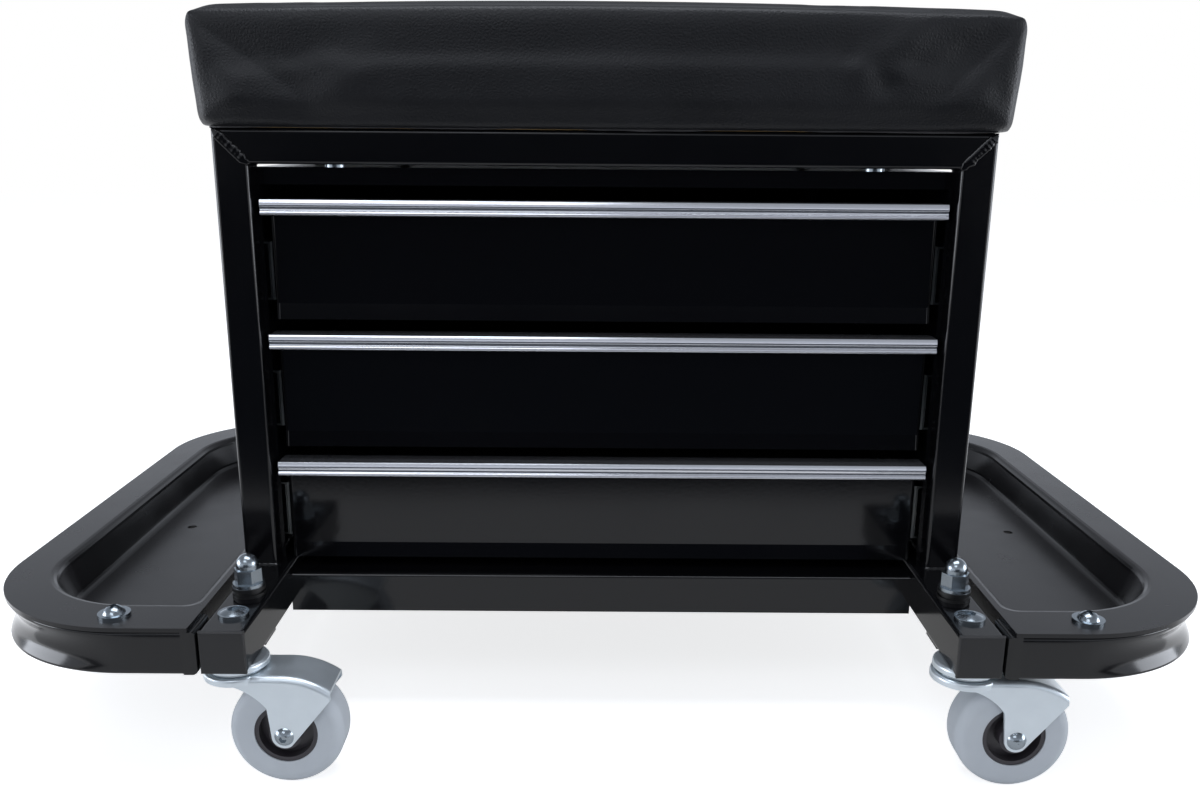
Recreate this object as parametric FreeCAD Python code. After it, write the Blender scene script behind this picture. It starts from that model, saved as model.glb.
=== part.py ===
import FreeCAD, Part
import math
import os

# Rolling tool chest seat: a padded seat on a welded square-tube frame, with a cabinet of three
# drawers between the posts, a tool tray outside each base rail and four swivel casters.
# Millimetres. X is the width, Y runs from front to back, Z is up, and the origin lies on the
# floor under the middle of the frame.

V = FreeCAD.Vector
X_AXIS = V(1, 0, 0)
Y_AXIS = V(0, 1, 0)
Z_AXIS = V(0, 0, 1)

# General
OVERRUN = 3.0
RUNNING_FIT = 0.06
BOLT_FIT = 0.1
SOFT_GAP = 0.3
SHEET = 1.2

# Casters
WHEEL_DIAMETER = 65.0
WHEEL_WIDTH = 24.0
TYRE_SHOULDER = 6.0
HUB_DIAMETER = 36.0
HUB_BOSS_DIAMETER = 18.0
HUB_WEB = 9.0
HUB_RIM = 2.5
HUB_RECESS = 0.8
HUB_SIDE_PLAY = 0.4
AXLE_DIAMETER = 8.0
AXLE_HEAD_DIAMETER = 11.0
AXLE_HEAD_HEIGHT = 3.2
AXLE_SOCKET = 4.0
AXLE_SOCKET_DEPTH = 2.0
AXLE_NUT_FLATS = 13.0
AXLE_NUT_HEIGHT = 6.0
TRAIL = 28.0
FORK_SHEET = 2.0
FORK_CHEEK_GAP = 28.0
FORK_BEND = 3.5
FORK_CROWN_GAP = 2.0
FORK_REACH = 55.0
FORK_TAIL_DROP = 9.0
FORK_TAIL_LIP = 5.0
FORK_RING_DIAMETER = 38.0
FORK_RING_LIP = 4.5
FORK_BOSS_DIAMETER = 14.0
FORK_THROAT = 10.0
RACE_GAP = 2.0
RACE_OUTER_DIAMETER = 33.0
RACE_INNER_DIAMETER = 27.0
DISC_DIAMETER = 36.0
DISC_HEIGHT = 4.0
DISC_LIP = 2.0
KINGPIN_DIAMETER = 11.0
KINGPIN_HEAD_DIAMETER = 15.0
KINGPIN_HEAD_HEIGHT = 3.0
CASTER_BOLT_DIAMETER = 8.0
CASTER_BOLT_FLANGE_DIAMETER = 17.0
CASTER_BOLT_FLANGE = 1.8
CASTER_BOLT_HEAD_DIAMETER = 14.5
CASTER_BOLT_HEAD_HEIGHT = 2.0
CASTER_BOLT_SOCKET = 6.0
CASTER_BOLT_SOCKET_DEPTH = 2.0
CASTER_INSET = 24.0

# Base rails
RAIL_SIDE = 25.0
RAIL_WALL = 1.5
RAIL_CORNER = 2.0
RAIL_PAST_POST = 96.0
RAIL_INSIDE_POST = 3.5
CAP_HEAD = 2.5
CAP_EDGE = 1.2
CAP_PLUG_DEPTH = 12.0
CAP_PLUG_WALL = 2.0

# Upper frame
POST_SIDE = 20.0
POST_WALL = 1.2
POST_CORNER = 2.4
FRAME_WIDTH = 445.0
FRAME_DEPTH = 255.0
POST_LENGTH = 263.0

# Cabinet
CABINET_SETBACK = 16.0
CABINET_HEADROOM = 1.8
FLANGE_DROP = 10.0
FINGER_GAP = 8.2
LEDGE_STEP = 2.5
LEDGE_BELOW_RAIL_TOP = 5.0
APRON_HEIGHT = 24.0
BASE_SHEET = 1.5
BASE_BEND = 1.2

# Drawers
DRAWER_NAMES = ("top", "middle", "bottom")
BOTTOM_DRAWER_HEIGHT = 65.0
DRAWER_TRAVEL_SHARE = 0.7
DRAWER_PROUD = 1.0
DRAWER_SIDE_GAP = 4.8
FACE_TO_PULL = 8.5
FACE_RETURN = 12.0
FACE_STRIP_HEIGHT = 9.5
FACE_STRIP_PROUD = 1.2
FACE_BEND = 2.6
FACE_LIFT = 0.8
PAN_FLOOR_LIFT = 3.0
PAN_SIDE_SHARE = 0.73
PAN_BACK_GAP = 17.8
PULL_END_GAP = 3.0
PULL_HEIGHT = 9.2
PULL_DEPTH = 8.5
PULL_LIP = 1.8
PULL_HOOK = 9.0
PULL_TOP_FALL = 2.0
PULL_TOP_SLOPE = 2.4
PULL_RIDGES = 3
PULL_RIDGE_BULGE = 0.7

# Drawer slides
SLIDE_WIDTH = 12.9
SLIDE_HEIGHT = 35.0
SLIDE_BACK_GAP = 9.3
SLIDE_INNER_SHORTER = 10.0
SLIDE_SETBACK = 1.5
SLIDE_ABOVE_FLOOR = 24.0
SLIDE_FLANGE = 9.3
BALL_GAP = 3.2
BALL_DIAMETER = 2.6
BALLS_PER_ROW = 6
CAGE_SHEET = 0.8
CAGE_LENGTH = 46.0
CAGE_LEAD = 2.0
CAGE_PLAY = 0.5

# Side trays
TRAY_WIDTH = 136.0
TRAY_PAST_RAIL = 3.0
TRAY_CORNER_SHARE = 0.712
TRAY_POST_GAP = 1.5
TRAY_SHEET = 1.2
TRAY_HEM = 1.3
TRAY_HEM_WIDTH = 10.0
TRAY_OUTER_RIM = 27.5
TRAY_END_RIM = 34.5
TRAY_INNER_RIM = 8.5
TRAY_FLANGE = 20.0
TRAY_FLANGE_GAP = 2.0
TRAY_RECESS = 23.5
TRAY_DRAFT = 5.0
TRAY_ROLL = 5.0
TRAY_FLOOR_ROUND = 4.0
TRAY_ROUND_STEPS = 4
TRAY_CORNER_STEP = 30.0
TRAY_INNER_CORNER = 9.0
TRAY_HOLE_DIAMETER = 6.5
TRAY_HOLE_COLLAR = 1.6
TRAY_HOLE_SHARE = 0.695
TRAY_TUBE_INSET = 1.0
TRAY_TUBE_END_GAP = 1.0
TRAY_CAP_HEAD = 8.0
TRAY_CAP_ROUND = 3.0
TRAY_SCREW_INSET = 17.5
TRAY_SCREW_REACH = 51.0
TRAY_SCREW_DIAMETER = 6.0
TRAY_SCREW_LENGTH = 14.0
TRAY_WASHER_DIAMETER = 17.5
TRAY_WASHER_HEIGHT = 1.6
TRAY_SCREW_HEAD_DIAMETER = 12.5
TRAY_SCREW_HEAD_HEIGHT = 4.2
TRAY_SCREW_SLOT = 1.8
TRAY_SCREW_SLOT_DEPTH = 2.2
TRAY_SCREW_SLOT_LENGTH = 6.4

# Tray brackets and their studs
BRACKET_SHEET = 3.0
BRACKET_TONGUE = 21.0
BRACKET_FOOT = 38.0
BRACKET_EDGE = 2.0
BRACKET_TUBE_OFFSET = 10.0
STUD_INSET = 54.0
STUD_DIAMETER = 8.0
STUD_INTO_NUT = 12.5
BUSH_DIAMETER = 19.0
BUSH_HEIGHT = 5.5
BUSH_GROOVE = 1.2
NUT_FLANGE_DIAMETER = 18.0
NUT_FLANGE = 2.0
NUT_FLATS = 14.0
NUT_HEX_HEIGHT = 8.5
NUT_DOME_DIAMETER = 12.8
NUT_DOME_HEIGHT = 8.8

# Seat
BOARD_THICKNESS = 12.0
BOARD_INSET = 2.5
BOARD_CORNER = 14.0
CUSHION_SIDE_OVERHANG = 10.5
CUSHION_FRONT_OVERHANG = 8.5
CUSHION_HEIGHT = 70.0
CUSHION_LIFT = 2.5
CUSHION_CORNER = 16.0
CUSHION_DRAW_IN = 9.0
SEAT_SCREW_INSET = 67.5
SEAT_SCREW_DIAMETER = 6.0
SEAT_SCREW_HEAD_DIAMETER = 12.0
SEAT_SCREW_HEAD_HEIGHT = 1.6
SEAT_SCREW_BITE = 9.0

# Cushion sections from the hem upwards: share of the height, share of the drawn-in depth
CUSHION_SIDE_SHARES = ((0.0, 0.8), (0.07, 0.4), (0.4, 0.16), (0.78, 0.0), (0.86, 0.2), (0.9, 0.7))
# Crown sections: share of the height, share of the half sizes
CUSHION_CROWN_SHARES = ((0.93, 0.9), (0.965, 0.7), (0.99, 0.42), (1.0, 0.16))

# Fork cheek, as shares of its reach and of the height between the crown and the axle
FORK_NECK_REACH_SHARE = 0.26
FORK_NECK_DROP_SHARE = 0.37
FORK_WAIST_DROP_SHARE = 0.52

# Heights
axle_height = WHEEL_DIAMETER / 2
crown_under = WHEEL_DIAMETER + FORK_CROWN_GAP
crown_top = crown_under + FORK_SHEET
disc_bottom = crown_top + RACE_GAP
rail_bottom = disc_bottom + DISC_HEIGHT
rail_top = rail_bottom + RAIL_SIDE
frame_top = rail_top + POST_LENGTH
cabinet_top = frame_top - POST_SIDE - CABINET_HEADROOM
flange_bottom = cabinet_top - FLANGE_DROP
ledge_top = rail_top - LEDGE_BELOW_RAIL_TOP
tray_top = rail_top + TRAY_SHEET + TRAY_HEM
tray_floor = tray_top - TRAY_RECESS
bracket_bottom = rail_bottom - BRACKET_SHEET
bush_top = rail_top + BUSH_HEIGHT
board_bottom = frame_top
cushion_bottom = board_bottom + CUSHION_LIFT

# Half widths and depths
frame_outer = FRAME_WIDTH / 2
frame_front = FRAME_DEPTH / 2
rail_half_length = frame_front + RAIL_PAST_POST
rail_outer = frame_outer - RAIL_INSIDE_POST
rail_inner = rail_outer - RAIL_SIDE
rail_middle = rail_outer - RAIL_SIDE / 2
rail_end = rail_half_length + CAP_HEAD
frame_inner = frame_outer - POST_SIDE
frame_back_of_post = frame_front - POST_SIDE
caster_y = rail_end - CASTER_INSET
stud_y = rail_end - STUD_INSET
cabinet_front = frame_front - CABINET_SETBACK
cabinet_inner = frame_inner - SHEET
face_front = -cabinet_front - DRAWER_PROUD
face_half = cabinet_inner - DRAWER_SIDE_GAP
pull_half = frame_inner - PULL_END_GAP
pan_half = cabinet_inner - SLIDE_WIDTH
pan_back = cabinet_front - SHEET - PAN_BACK_GAP
slide_front = face_front + FACE_RETURN + SLIDE_SETBACK
slide_back = cabinet_front - SHEET - SLIDE_BACK_GAP
drawer_travel = DRAWER_TRAVEL_SHARE * (slide_back - slide_front)
first_pull_top = flange_bottom - FINGER_GAP
drawer_pitch = (first_pull_top - rail_top - BOTTOM_DRAWER_HEIGHT) / (len(DRAWER_NAMES) - 1)
tray_inner = frame_outer + TRAY_POST_GAP
tray_outer = tray_inner + TRAY_WIDTH
tray_half = rail_half_length + TRAY_PAST_RAIL
tray_corner = TRAY_CORNER_SHARE * TRAY_WIDTH
recess_corner = tray_corner - TRAY_CORNER_STEP
recess_inner = tray_inner + TRAY_INNER_RIM
recess_outer = tray_outer - TRAY_OUTER_RIM
recess_half = tray_half - TRAY_END_RIM
tray_tube_outer = tray_outer - TRAY_TUBE_INSET
tray_tube_half = tray_half
tray_tube_start = rail_outer + TRAY_TUBE_END_GAP
tray_bend = tray_corner - TRAY_TUBE_INSET - RAIL_SIDE / 2
seat_screw_x = frame_outer - SEAT_SCREW_INSET
tray_screw_x = rail_outer + TRAY_SCREW_REACH
tray_screw_y = tray_half - TRAY_SCREW_INSET


# Building blocks

def block(x0, x1, y0, y1, z0, z1):
    return Part.makeBox(x1 - x0, y1 - y0, z1 - z0, V(x0, y0, z0))


def rod(radius, x, y, z0, z1):
    return Part.makeCylinder(radius, z1 - z0, V(x, y, z0), Z_AXIS)


def cross_rod(radius, x, z, y0, y1):
    return Part.makeCylinder(radius, y1 - y0, V(x, y0, z), Y_AXIS)


def prism(points, direction):
    return Part.Face(Part.makePolygon(points + points[:1])).extrude(direction)


def hexagon(flats, x, y, z0, z1):
    radius = flats / math.sqrt(3)
    corners = [V(x + radius * math.cos(math.radians(60 * i)), y + radius * math.sin(math.radians(60 * i)), z0)
               for i in range(6)]
    return prism(corners, V(0, 0, z1 - z0))


def rounded_wire(x0, x1, y0, y1, z, radii):
    """A rectangle with its own radius at each corner, in order from low x, low y, anticlockwise."""
    corners = [(x0, y0, 180), (x1, y0, 270), (x1, y1, 0), (x0, y1, 90)]
    edges = []
    ends = []
    for (x, y, start), r in zip(corners, radii):
        cx = x + (r if x == x0 else -r)
        cy = y + (r if y == y0 else -r)
        arc = [V(cx + r * math.cos(math.radians(a)), cy + r * math.sin(math.radians(a)), z)
               for a in (start, start + 45, start + 90)]
        ends.append(arc)
    for i, arc in enumerate(ends):
        edges.append(Part.Arc(*arc).toShape())
        edges.append(Part.makeLine(arc[2], ends[(i + 1) % len(ends)][0]))
    return Part.Wire(edges)


def centred_wire(half_x, half_y, z, radius):
    return rounded_wire(-half_x, half_x, -half_y, half_y, z, [radius] * 4)


def plate(wire, height):
    return Part.Face(wire).extrude(V(0, 0, height))


def tube_faces(side, wall, corner, start, direction):
    """The outer and the inner square of a tube, centred on start and facing along direction."""
    faces = []
    for half, radius in ((side / 2, corner), (side / 2 - wall, max(corner - wall, wall / 2))):
        face = Part.Face(centred_wire(half, half, 0, radius))
        face.Placement = FreeCAD.Placement(start, FreeCAD.Rotation(Z_AXIS, direction))
        faces.append(face)
    return faces


def straight_tube(side, wall, corner, start, end):
    outer, inner = tube_faces(side, wall, corner, start, end - start)
    return outer.extrude(end - start).cut(inner.extrude(end - start))


def quarter_tube(side, wall, corner, start, direction, centre):
    outer, inner = tube_faces(side, wall, corner, start, direction)
    return outer.revolve(centre, Z_AXIS, 90).cut(inner.revolve(centre, Z_AXIS, 90))


def mirrored(shape, normal):
    return shape.mirror(V(0, 0, 0), normal)


def left_and_right(shape):
    return [mirrored(shape, X_AXIS), shape]


def four_corners(shape):
    """Copies of a front right piece at all four corners."""
    front = left_and_right(shape)
    return front + [mirrored(piece, Y_AXIS) for piece in front]


def save(name, shapes):
    shape = shapes if isinstance(shapes, Part.Shape) else Part.makeCompound(shapes)
    shape.exportStep("parts/" + name + ".step")


# Base rails

def base_rail():
    rail = straight_tube(RAIL_SIDE, RAIL_WALL, RAIL_CORNER,
                         V(rail_middle, -rail_half_length, rail_bottom + RAIL_SIDE / 2),
                         V(rail_middle, rail_half_length, rail_bottom + RAIL_SIDE / 2))
    for y in (-caster_y, caster_y):
        rail = rail.cut(rod(CASTER_BOLT_DIAMETER / 2 + BOLT_FIT, rail_middle, y,
                            rail_bottom - OVERRUN, rail_top + OVERRUN))
    for y in (-stud_y, stud_y):
        rail = rail.cut(rod(STUD_DIAMETER / 2 + BOLT_FIT, rail_middle, y,
                            rail_bottom - OVERRUN, rail_top + OVERRUN))
    return rail


def cap_plug(start, direction):
    """The hollow plug of a cap, a push fit in the tube."""
    side = RAIL_SIDE - 2 * (RAIL_WALL + BOLT_FIT)
    return straight_tube(side, CAP_PLUG_WALL, RAIL_CORNER, start, start + direction * CAP_PLUG_DEPTH)


def rail_end_cap():
    """A moulded plug with a square head that covers the end of the tube."""
    middle = rail_bottom + RAIL_SIDE / 2
    half = RAIL_SIDE / 2
    head = block(rail_middle - half, rail_middle + half, -rail_end, -rail_half_length,
                 middle - half, middle + half)
    front = [e for e in head.Edges if all(abs(v.Y + rail_end) < CAP_EDGE / 2 for v in e.Vertexes)]
    head = head.makeFillet(CAP_EDGE, front)
    plug = cap_plug(V(rail_middle, -rail_half_length, middle), Y_AXIS)
    return head.fuse(plug).removeSplitter()


# Upper frame

def mitre_cut(keep_below):
    """The wedge that trims a post, or a top rail, along the mitre of the right top corner."""
    low = V(frame_inner - OVERRUN, -frame_front - OVERRUN, frame_top - POST_SIDE - OVERRUN)
    high = V(frame_outer + OVERRUN, -frame_front - OVERRUN, frame_top + OVERRUN)
    corner = V(low.x, low.y, high.z) if keep_below else V(high.x, low.y, low.z)
    return prism([low, high, corner], V(0, POST_SIDE + 2 * OVERRUN, 0))


def front_post():
    post = straight_tube(POST_SIDE, POST_WALL, POST_CORNER,
                         V(frame_outer - POST_SIDE / 2, -frame_front + POST_SIDE / 2, rail_top),
                         V(frame_outer - POST_SIDE / 2, -frame_front + POST_SIDE / 2, frame_top))
    return post.cut(mitre_cut(True))


def front_top_rail():
    rail = straight_tube(POST_SIDE, POST_WALL, POST_CORNER,
                         V(-frame_outer, -frame_front + POST_SIDE / 2, frame_top - POST_SIDE / 2),
                         V(frame_outer, -frame_front + POST_SIDE / 2, frame_top - POST_SIDE / 2))
    wedge = mitre_cut(False)
    rail = rail.cut(wedge).cut(mirrored(wedge, X_AXIS))
    for x in (-seat_screw_x, seat_screw_x):
        rail = rail.cut(rod(SEAT_SCREW_DIAMETER / 2 + BOLT_FIT, x, -frame_front + POST_SIDE / 2,
                            frame_top - POST_SIDE - OVERRUN, frame_top + OVERRUN))
    return rail


def side_top_rail():
    return straight_tube(POST_SIDE, POST_WALL, POST_CORNER,
                         V(frame_outer - POST_SIDE / 2, -frame_back_of_post, frame_top - POST_SIDE / 2),
                         V(frame_outer - POST_SIDE / 2, frame_back_of_post, frame_top - POST_SIDE / 2))


# Cabinet

def cabinet_side():
    return block(cabinet_inner, frame_inner, -cabinet_front, cabinet_front, rail_top, cabinet_top)


def cabinet_back():
    return block(-cabinet_inner, cabinet_inner, cabinet_front - SHEET, cabinet_front,
                 rail_top, cabinet_top - SHEET)


def cabinet_top_panel():
    """The top sheet with its front edge turned down above the first drawer."""
    sheet = block(-cabinet_inner, cabinet_inner, -cabinet_front, cabinet_front,
                  cabinet_top - SHEET, cabinet_top)
    flange = block(-cabinet_inner, cabinet_inner, -cabinet_front, -cabinet_front + SHEET,
                   flange_bottom, cabinet_top)
    return sheet.fuse(flange).removeSplitter()


def cabinet_base():
    """The base sheet between the rails, turned down at the front and the back as aprons."""
    reach = frame_front + LEDGE_STEP
    apron_bottom = ledge_top - APRON_HEIGHT
    base = block(-rail_inner, rail_inner, -reach, reach, ledge_top - BASE_SHEET, ledge_top)
    for y0, y1 in ((-reach, -reach + BASE_SHEET), (reach - BASE_SHEET, reach)):
        base = base.fuse(block(-rail_inner, rail_inner, y0, y1, apron_bottom, ledge_top))
    base = base.removeSplitter()
    bends = [e for e in base.Edges
             if all(abs(abs(v.Y) - reach) < BASE_SHEET / 2 and abs(v.Z - ledge_top) < BASE_SHEET / 2
                    for v in e.Vertexes)]
    return base.makeFillet(BASE_BEND, bends)


# Drawers

def pull_top(index):
    return first_pull_top - index * drawer_pitch


def face_top(index):
    return pull_top(index) - PULL_LIP


def face_bottom(index):
    """Just above the next pull, and for the last drawer just above the rails."""
    if index == len(DRAWER_NAMES) - 1:
        return rail_top + FACE_LIFT
    return pull_top(index + 1) + FACE_TO_PULL


def slide_middle(index):
    return face_bottom(index) + PAN_FLOOR_LIFT + SLIDE_ABOVE_FLOOR


def drawer_face(low, high, inset):
    """The drawer's front: a shallow box with rounded sides whose lowest strip leans out.

    An inset gives its hollow.
    """
    front = face_front + inset
    back = face_front + FACE_RETURN + (OVERRUN if inset else 0)
    outline = [(front, high - inset), (front, low + FACE_STRIP_HEIGHT),
               (front - FACE_STRIP_PROUD, low + inset), (back, low + inset), (back, high - inset)]
    points = [V(-face_half + inset, y, z) for y, z in outline]
    box = prism(points, V(2 * (face_half - inset), 0, 0))
    uprights = [e for e in box.Edges
                if all(v.Y < front + SHEET / 2 for v in e.Vertexes)
                and abs(e.Vertexes[0].Z - e.Vertexes[-1].Z) > FACE_BEND]
    return box.makeFillet(FACE_BEND - inset, uprights)


def drawer_pan(index):
    """The folded drawer: a floor, two sides, a back and a front that is turned back all round."""
    low, high = face_bottom(index), face_top(index)
    face = drawer_face(low, high, 0).cut(drawer_face(low, high, SHEET))
    floor = low + PAN_FLOOR_LIFT
    side_top = floor + PAN_SIDE_SHARE * (high - low)
    pan = block(-pan_half, pan_half, face_front, pan_back, floor, side_top)
    pan = pan.cut(block(-pan_half + SHEET, pan_half - SHEET, face_front + SHEET, pan_back - SHEET,
                        floor + SHEET, side_top + OVERRUN))
    return face.fuse(pan).removeSplitter()


def drawer_pull(index):
    """An extruded pull with a ridged front, hooked over the drawer's top edge."""
    top = pull_top(index)

    def point(forward, down):
        return V(-pull_half, face_front - forward, top - down)

    edges = [Part.makeLine(point(0, PULL_LIP), point(0, PULL_HEIGHT)),
             Part.makeLine(point(0, PULL_HEIGHT), point(PULL_DEPTH, PULL_HEIGHT))]
    step = (PULL_HEIGHT - PULL_TOP_FALL) / PULL_RIDGES
    for i in range(PULL_RIDGES):
        low = PULL_HEIGHT - i * step
        edges.append(Part.Arc(point(PULL_DEPTH, low), point(PULL_DEPTH + PULL_RIDGE_BULGE, low - step / 2),
                              point(PULL_DEPTH, low - step)).toShape())
    edges += [Part.makeLine(point(PULL_DEPTH, PULL_TOP_FALL), point(PULL_DEPTH - PULL_TOP_SLOPE, 0)),
              Part.makeLine(point(PULL_DEPTH - PULL_TOP_SLOPE, 0), point(-PULL_HOOK, 0)),
              Part.makeLine(point(-PULL_HOOK, 0), point(-PULL_HOOK, PULL_LIP)),
              Part.makeLine(point(-PULL_HOOK, PULL_LIP), point(0, PULL_LIP))]
    return Part.Face(Part.Wire(edges)).extrude(V(2 * pull_half, 0, 0))


def slide_outer_channel(index):
    middle = slide_middle(index)
    half = SLIDE_HEIGHT / 2
    channel = block(cabinet_inner - SLIDE_FLANGE, cabinet_inner, slide_front, slide_back,
                    middle - half, middle + half)
    return channel.cut(block(cabinet_inner - SLIDE_FLANGE - OVERRUN, cabinet_inner - SHEET,
                             slide_front - OVERRUN, slide_back + OVERRUN,
                             middle - half + SHEET, middle + half - SHEET))


def slide_inner_half_height():
    return SLIDE_HEIGHT / 2 - SHEET - BALL_GAP


def slide_inner_channel(index):
    middle = slide_middle(index)
    half = slide_inner_half_height()
    back = slide_back - SLIDE_INNER_SHORTER
    channel = block(pan_half, pan_half + SLIDE_FLANGE, slide_front, back, middle - half, middle + half)
    return channel.cut(block(pan_half + SHEET, pan_half + SLIDE_FLANGE + OVERRUN,
                             slide_front - OVERRUN, back + OVERRUN,
                             middle - half + SHEET, middle + half - SHEET))


def slide_ball_cage(index):
    """A folded strip that spaces two rows of balls between the channels."""
    middle = slide_middle(index)
    row = slide_inner_half_height() + BALL_GAP / 2
    half = row + CAGE_SHEET / 2
    outer = pan_half + SLIDE_FLANGE + CAGE_PLAY + CAGE_SHEET
    inner = cabinet_inner - SLIDE_FLANGE + CAGE_PLAY
    front = slide_front + drawer_travel / 2 + CAGE_LEAD
    cage = block(inner, outer, front, front + CAGE_LENGTH, middle - half, middle + half)
    cage = cage.cut(block(inner - OVERRUN, outer - CAGE_SHEET, front - OVERRUN, front + CAGE_LENGTH + OVERRUN,
                          middle - half + CAGE_SHEET, middle + half - CAGE_SHEET))
    pitch = CAGE_LENGTH / BALLS_PER_ROW
    for side in (-1, 1):
        for i in range(BALLS_PER_ROW):
            centre = V((inner + outer - CAGE_SHEET) / 2, front + (i + 0.5) * pitch, middle + side * row)
            cage = cage.fuse(Part.makeSphere(BALL_DIAMETER / 2, centre))
    return cage


# Side trays

def tray_outline(inset, z):
    """The rim's outline, square beside the rail and well rounded at the outer corners."""
    corner = tray_corner - inset
    return rounded_wire(tray_inner + inset, tray_outer - inset, -tray_half + inset, tray_half - inset, z,
                        [TRAY_SHEET, corner, corner, TRAY_SHEET])


def recess_wire(inset, z):
    outer = recess_corner - inset
    inner = TRAY_INNER_CORNER
    half = recess_half - inset
    return rounded_wire(recess_inner + inset, recess_outer - inset, -half, half, z,
                        [inner, outer, outer, inner])


def recess_sections(thickness):
    """The recess from rim to floor: rolled over at the rim, drafted, and rounded into the floor.
    A thickness gives the sheet's underside in place of its upper face."""
    rim_radius = TRAY_ROLL - thickness
    floor_radius = TRAY_FLOOR_ROUND + thickness
    turns = [math.radians(90 * i / TRAY_ROUND_STEPS) for i in range(TRAY_ROUND_STEPS + 1)]
    rim = [(-TRAY_ROLL + rim_radius * math.sin(a), tray_top - TRAY_ROLL + rim_radius * math.cos(a))
           for a in turns]
    centre = (TRAY_DRAFT + TRAY_FLOOR_ROUND, tray_floor + TRAY_FLOOR_ROUND)
    floor = [(centre[0] - floor_radius * math.cos(a), centre[1] - floor_radius * math.sin(a)) for a in turns]
    return [recess_wire(inset, z) for inset, z in rim + floor]


def tray_pan():
    """A pressed pan whose wide flat rim rests on the bent tube, hemmed, and turned down beside the frame."""
    rim = plate(tray_outline(0, tray_top - TRAY_SHEET), TRAY_SHEET)
    hem = plate(tray_outline(0, rail_top), TRAY_HEM).cut(
        plate(tray_outline(TRAY_HEM_WIDTH, rail_top), TRAY_HEM))
    hem = hem.cut(plate(recess_wire(-TRAY_ROLL, rail_top), TRAY_HEM))
    flange_half = tray_tube_half - RAIL_SIDE - TRAY_FLANGE_GAP
    flange = block(tray_inner, tray_inner + TRAY_SHEET, -flange_half, flange_half,
                   tray_top - TRAY_FLANGE, tray_top)
    outside = Part.makeLoft(recess_sections(TRAY_SHEET), True, True)
    inside = Part.makeLoft(recess_sections(0), True, True)
    pan = rim.fuse(hem).fuse(flange).fuse(outside).cut(inside).removeSplitter()
    hole_x = recess_inner + TRAY_HOLE_SHARE * (recess_outer - recess_inner)
    collar_bottom = tray_floor - TRAY_SHEET - TRAY_HOLE_COLLAR
    pan = pan.fuse(rod(TRAY_HOLE_DIAMETER / 2 + TRAY_SHEET, hole_x, 0, collar_bottom, tray_floor))
    pan = pan.removeSplitter()
    pan = pan.cut(rod(TRAY_HOLE_DIAMETER / 2, hole_x, 0, collar_bottom - OVERRUN, tray_floor + OVERRUN))
    for y in (-tray_screw_y, tray_screw_y):
        pan = pan.cut(rod(TRAY_SCREW_DIAMETER / 2 + BOLT_FIT, tray_screw_x, y,
                          rail_top - OVERRUN, tray_top + OVERRUN))
    return pan


def tray_tube_end(y):
    return V(tray_tube_start + TRAY_CAP_HEAD, y, rail_bottom + RAIL_SIDE / 2)


def tray_tube():
    """One length of square tube, bent round the tray's outer corners."""
    half = tray_tube_half - RAIL_SIDE / 2
    side_x = tray_tube_outer - RAIL_SIDE / 2
    bend_x = side_x - tray_bend
    bend_y = half - tray_bend
    middle = rail_bottom + RAIL_SIDE / 2
    front = straight_tube(RAIL_SIDE, RAIL_WALL, RAIL_CORNER, tray_tube_end(-half), V(bend_x, -half, middle))
    side = straight_tube(RAIL_SIDE, RAIL_WALL, RAIL_CORNER,
                         V(side_x, -bend_y, middle), V(side_x, bend_y, middle))
    corner = quarter_tube(RAIL_SIDE, RAIL_WALL, RAIL_CORNER, V(bend_x, -half, middle), X_AXIS,
                          V(bend_x, -bend_y, middle))
    tube = side
    for piece in (front, corner, mirrored(front, Y_AXIS), mirrored(corner, Y_AXIS)):
        tube = tube.fuse(piece)
    tube = tube.removeSplitter()
    for y in (-tray_screw_y, tray_screw_y):
        tube = tube.cut(rod(TRAY_SCREW_DIAMETER / 2 + BOLT_FIT, tray_screw_x, y,
                            rail_top - RAIL_SIDE / 2, rail_top + OVERRUN))
    return tube


def tray_tube_cap():
    """A rounded cap over the end of the bent tube beside the rail."""
    y = -tray_tube_half + RAIL_SIDE / 2
    half = RAIL_SIDE / 2
    middle = rail_bottom + half
    inner_end = tray_tube_start + TRAY_CAP_HEAD
    head = block(tray_tube_start, inner_end, y - half, y + half, middle - half, middle + half)
    outer_edges = [e for e in head.Edges if all(abs(v.X - tray_tube_start) < CAP_EDGE for v in e.Vertexes)]
    head = head.makeFillet(TRAY_CAP_ROUND, outer_edges)
    return head.fuse(cap_plug(V(inner_end, y, middle), X_AXIS)).removeSplitter()


def tray_bracket():
    """A flat plate under the tray tube with a tongue that reaches under the base rail."""
    tube_front = -tray_tube_half + BRACKET_TUBE_OFFSET
    tongue_front = -stud_y - BRACKET_TONGUE / 2
    tongue_back = -stud_y + BRACKET_TONGUE / 2
    foot_x = tray_tube_start + TRAY_CAP_HEAD + BRACKET_EDGE
    points = [(foot_x, tube_front), (foot_x + BRACKET_FOOT, tube_front), (foot_x + BRACKET_FOOT, tongue_back),
              (rail_inner + BRACKET_EDGE, tongue_back), (rail_inner + BRACKET_EDGE, tongue_front),
              (foot_x, tongue_front)]
    bracket = prism([V(x, y, bracket_bottom) for x, y in points], V(0, 0, BRACKET_SHEET))
    return bracket.cut(rod(STUD_DIAMETER / 2, rail_middle, -stud_y, bracket_bottom - OVERRUN,
                           rail_bottom + OVERRUN))


def tray_stud():
    return rod(STUD_DIAMETER / 2, rail_middle, -stud_y, bracket_bottom, bush_top + STUD_INTO_NUT)


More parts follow.
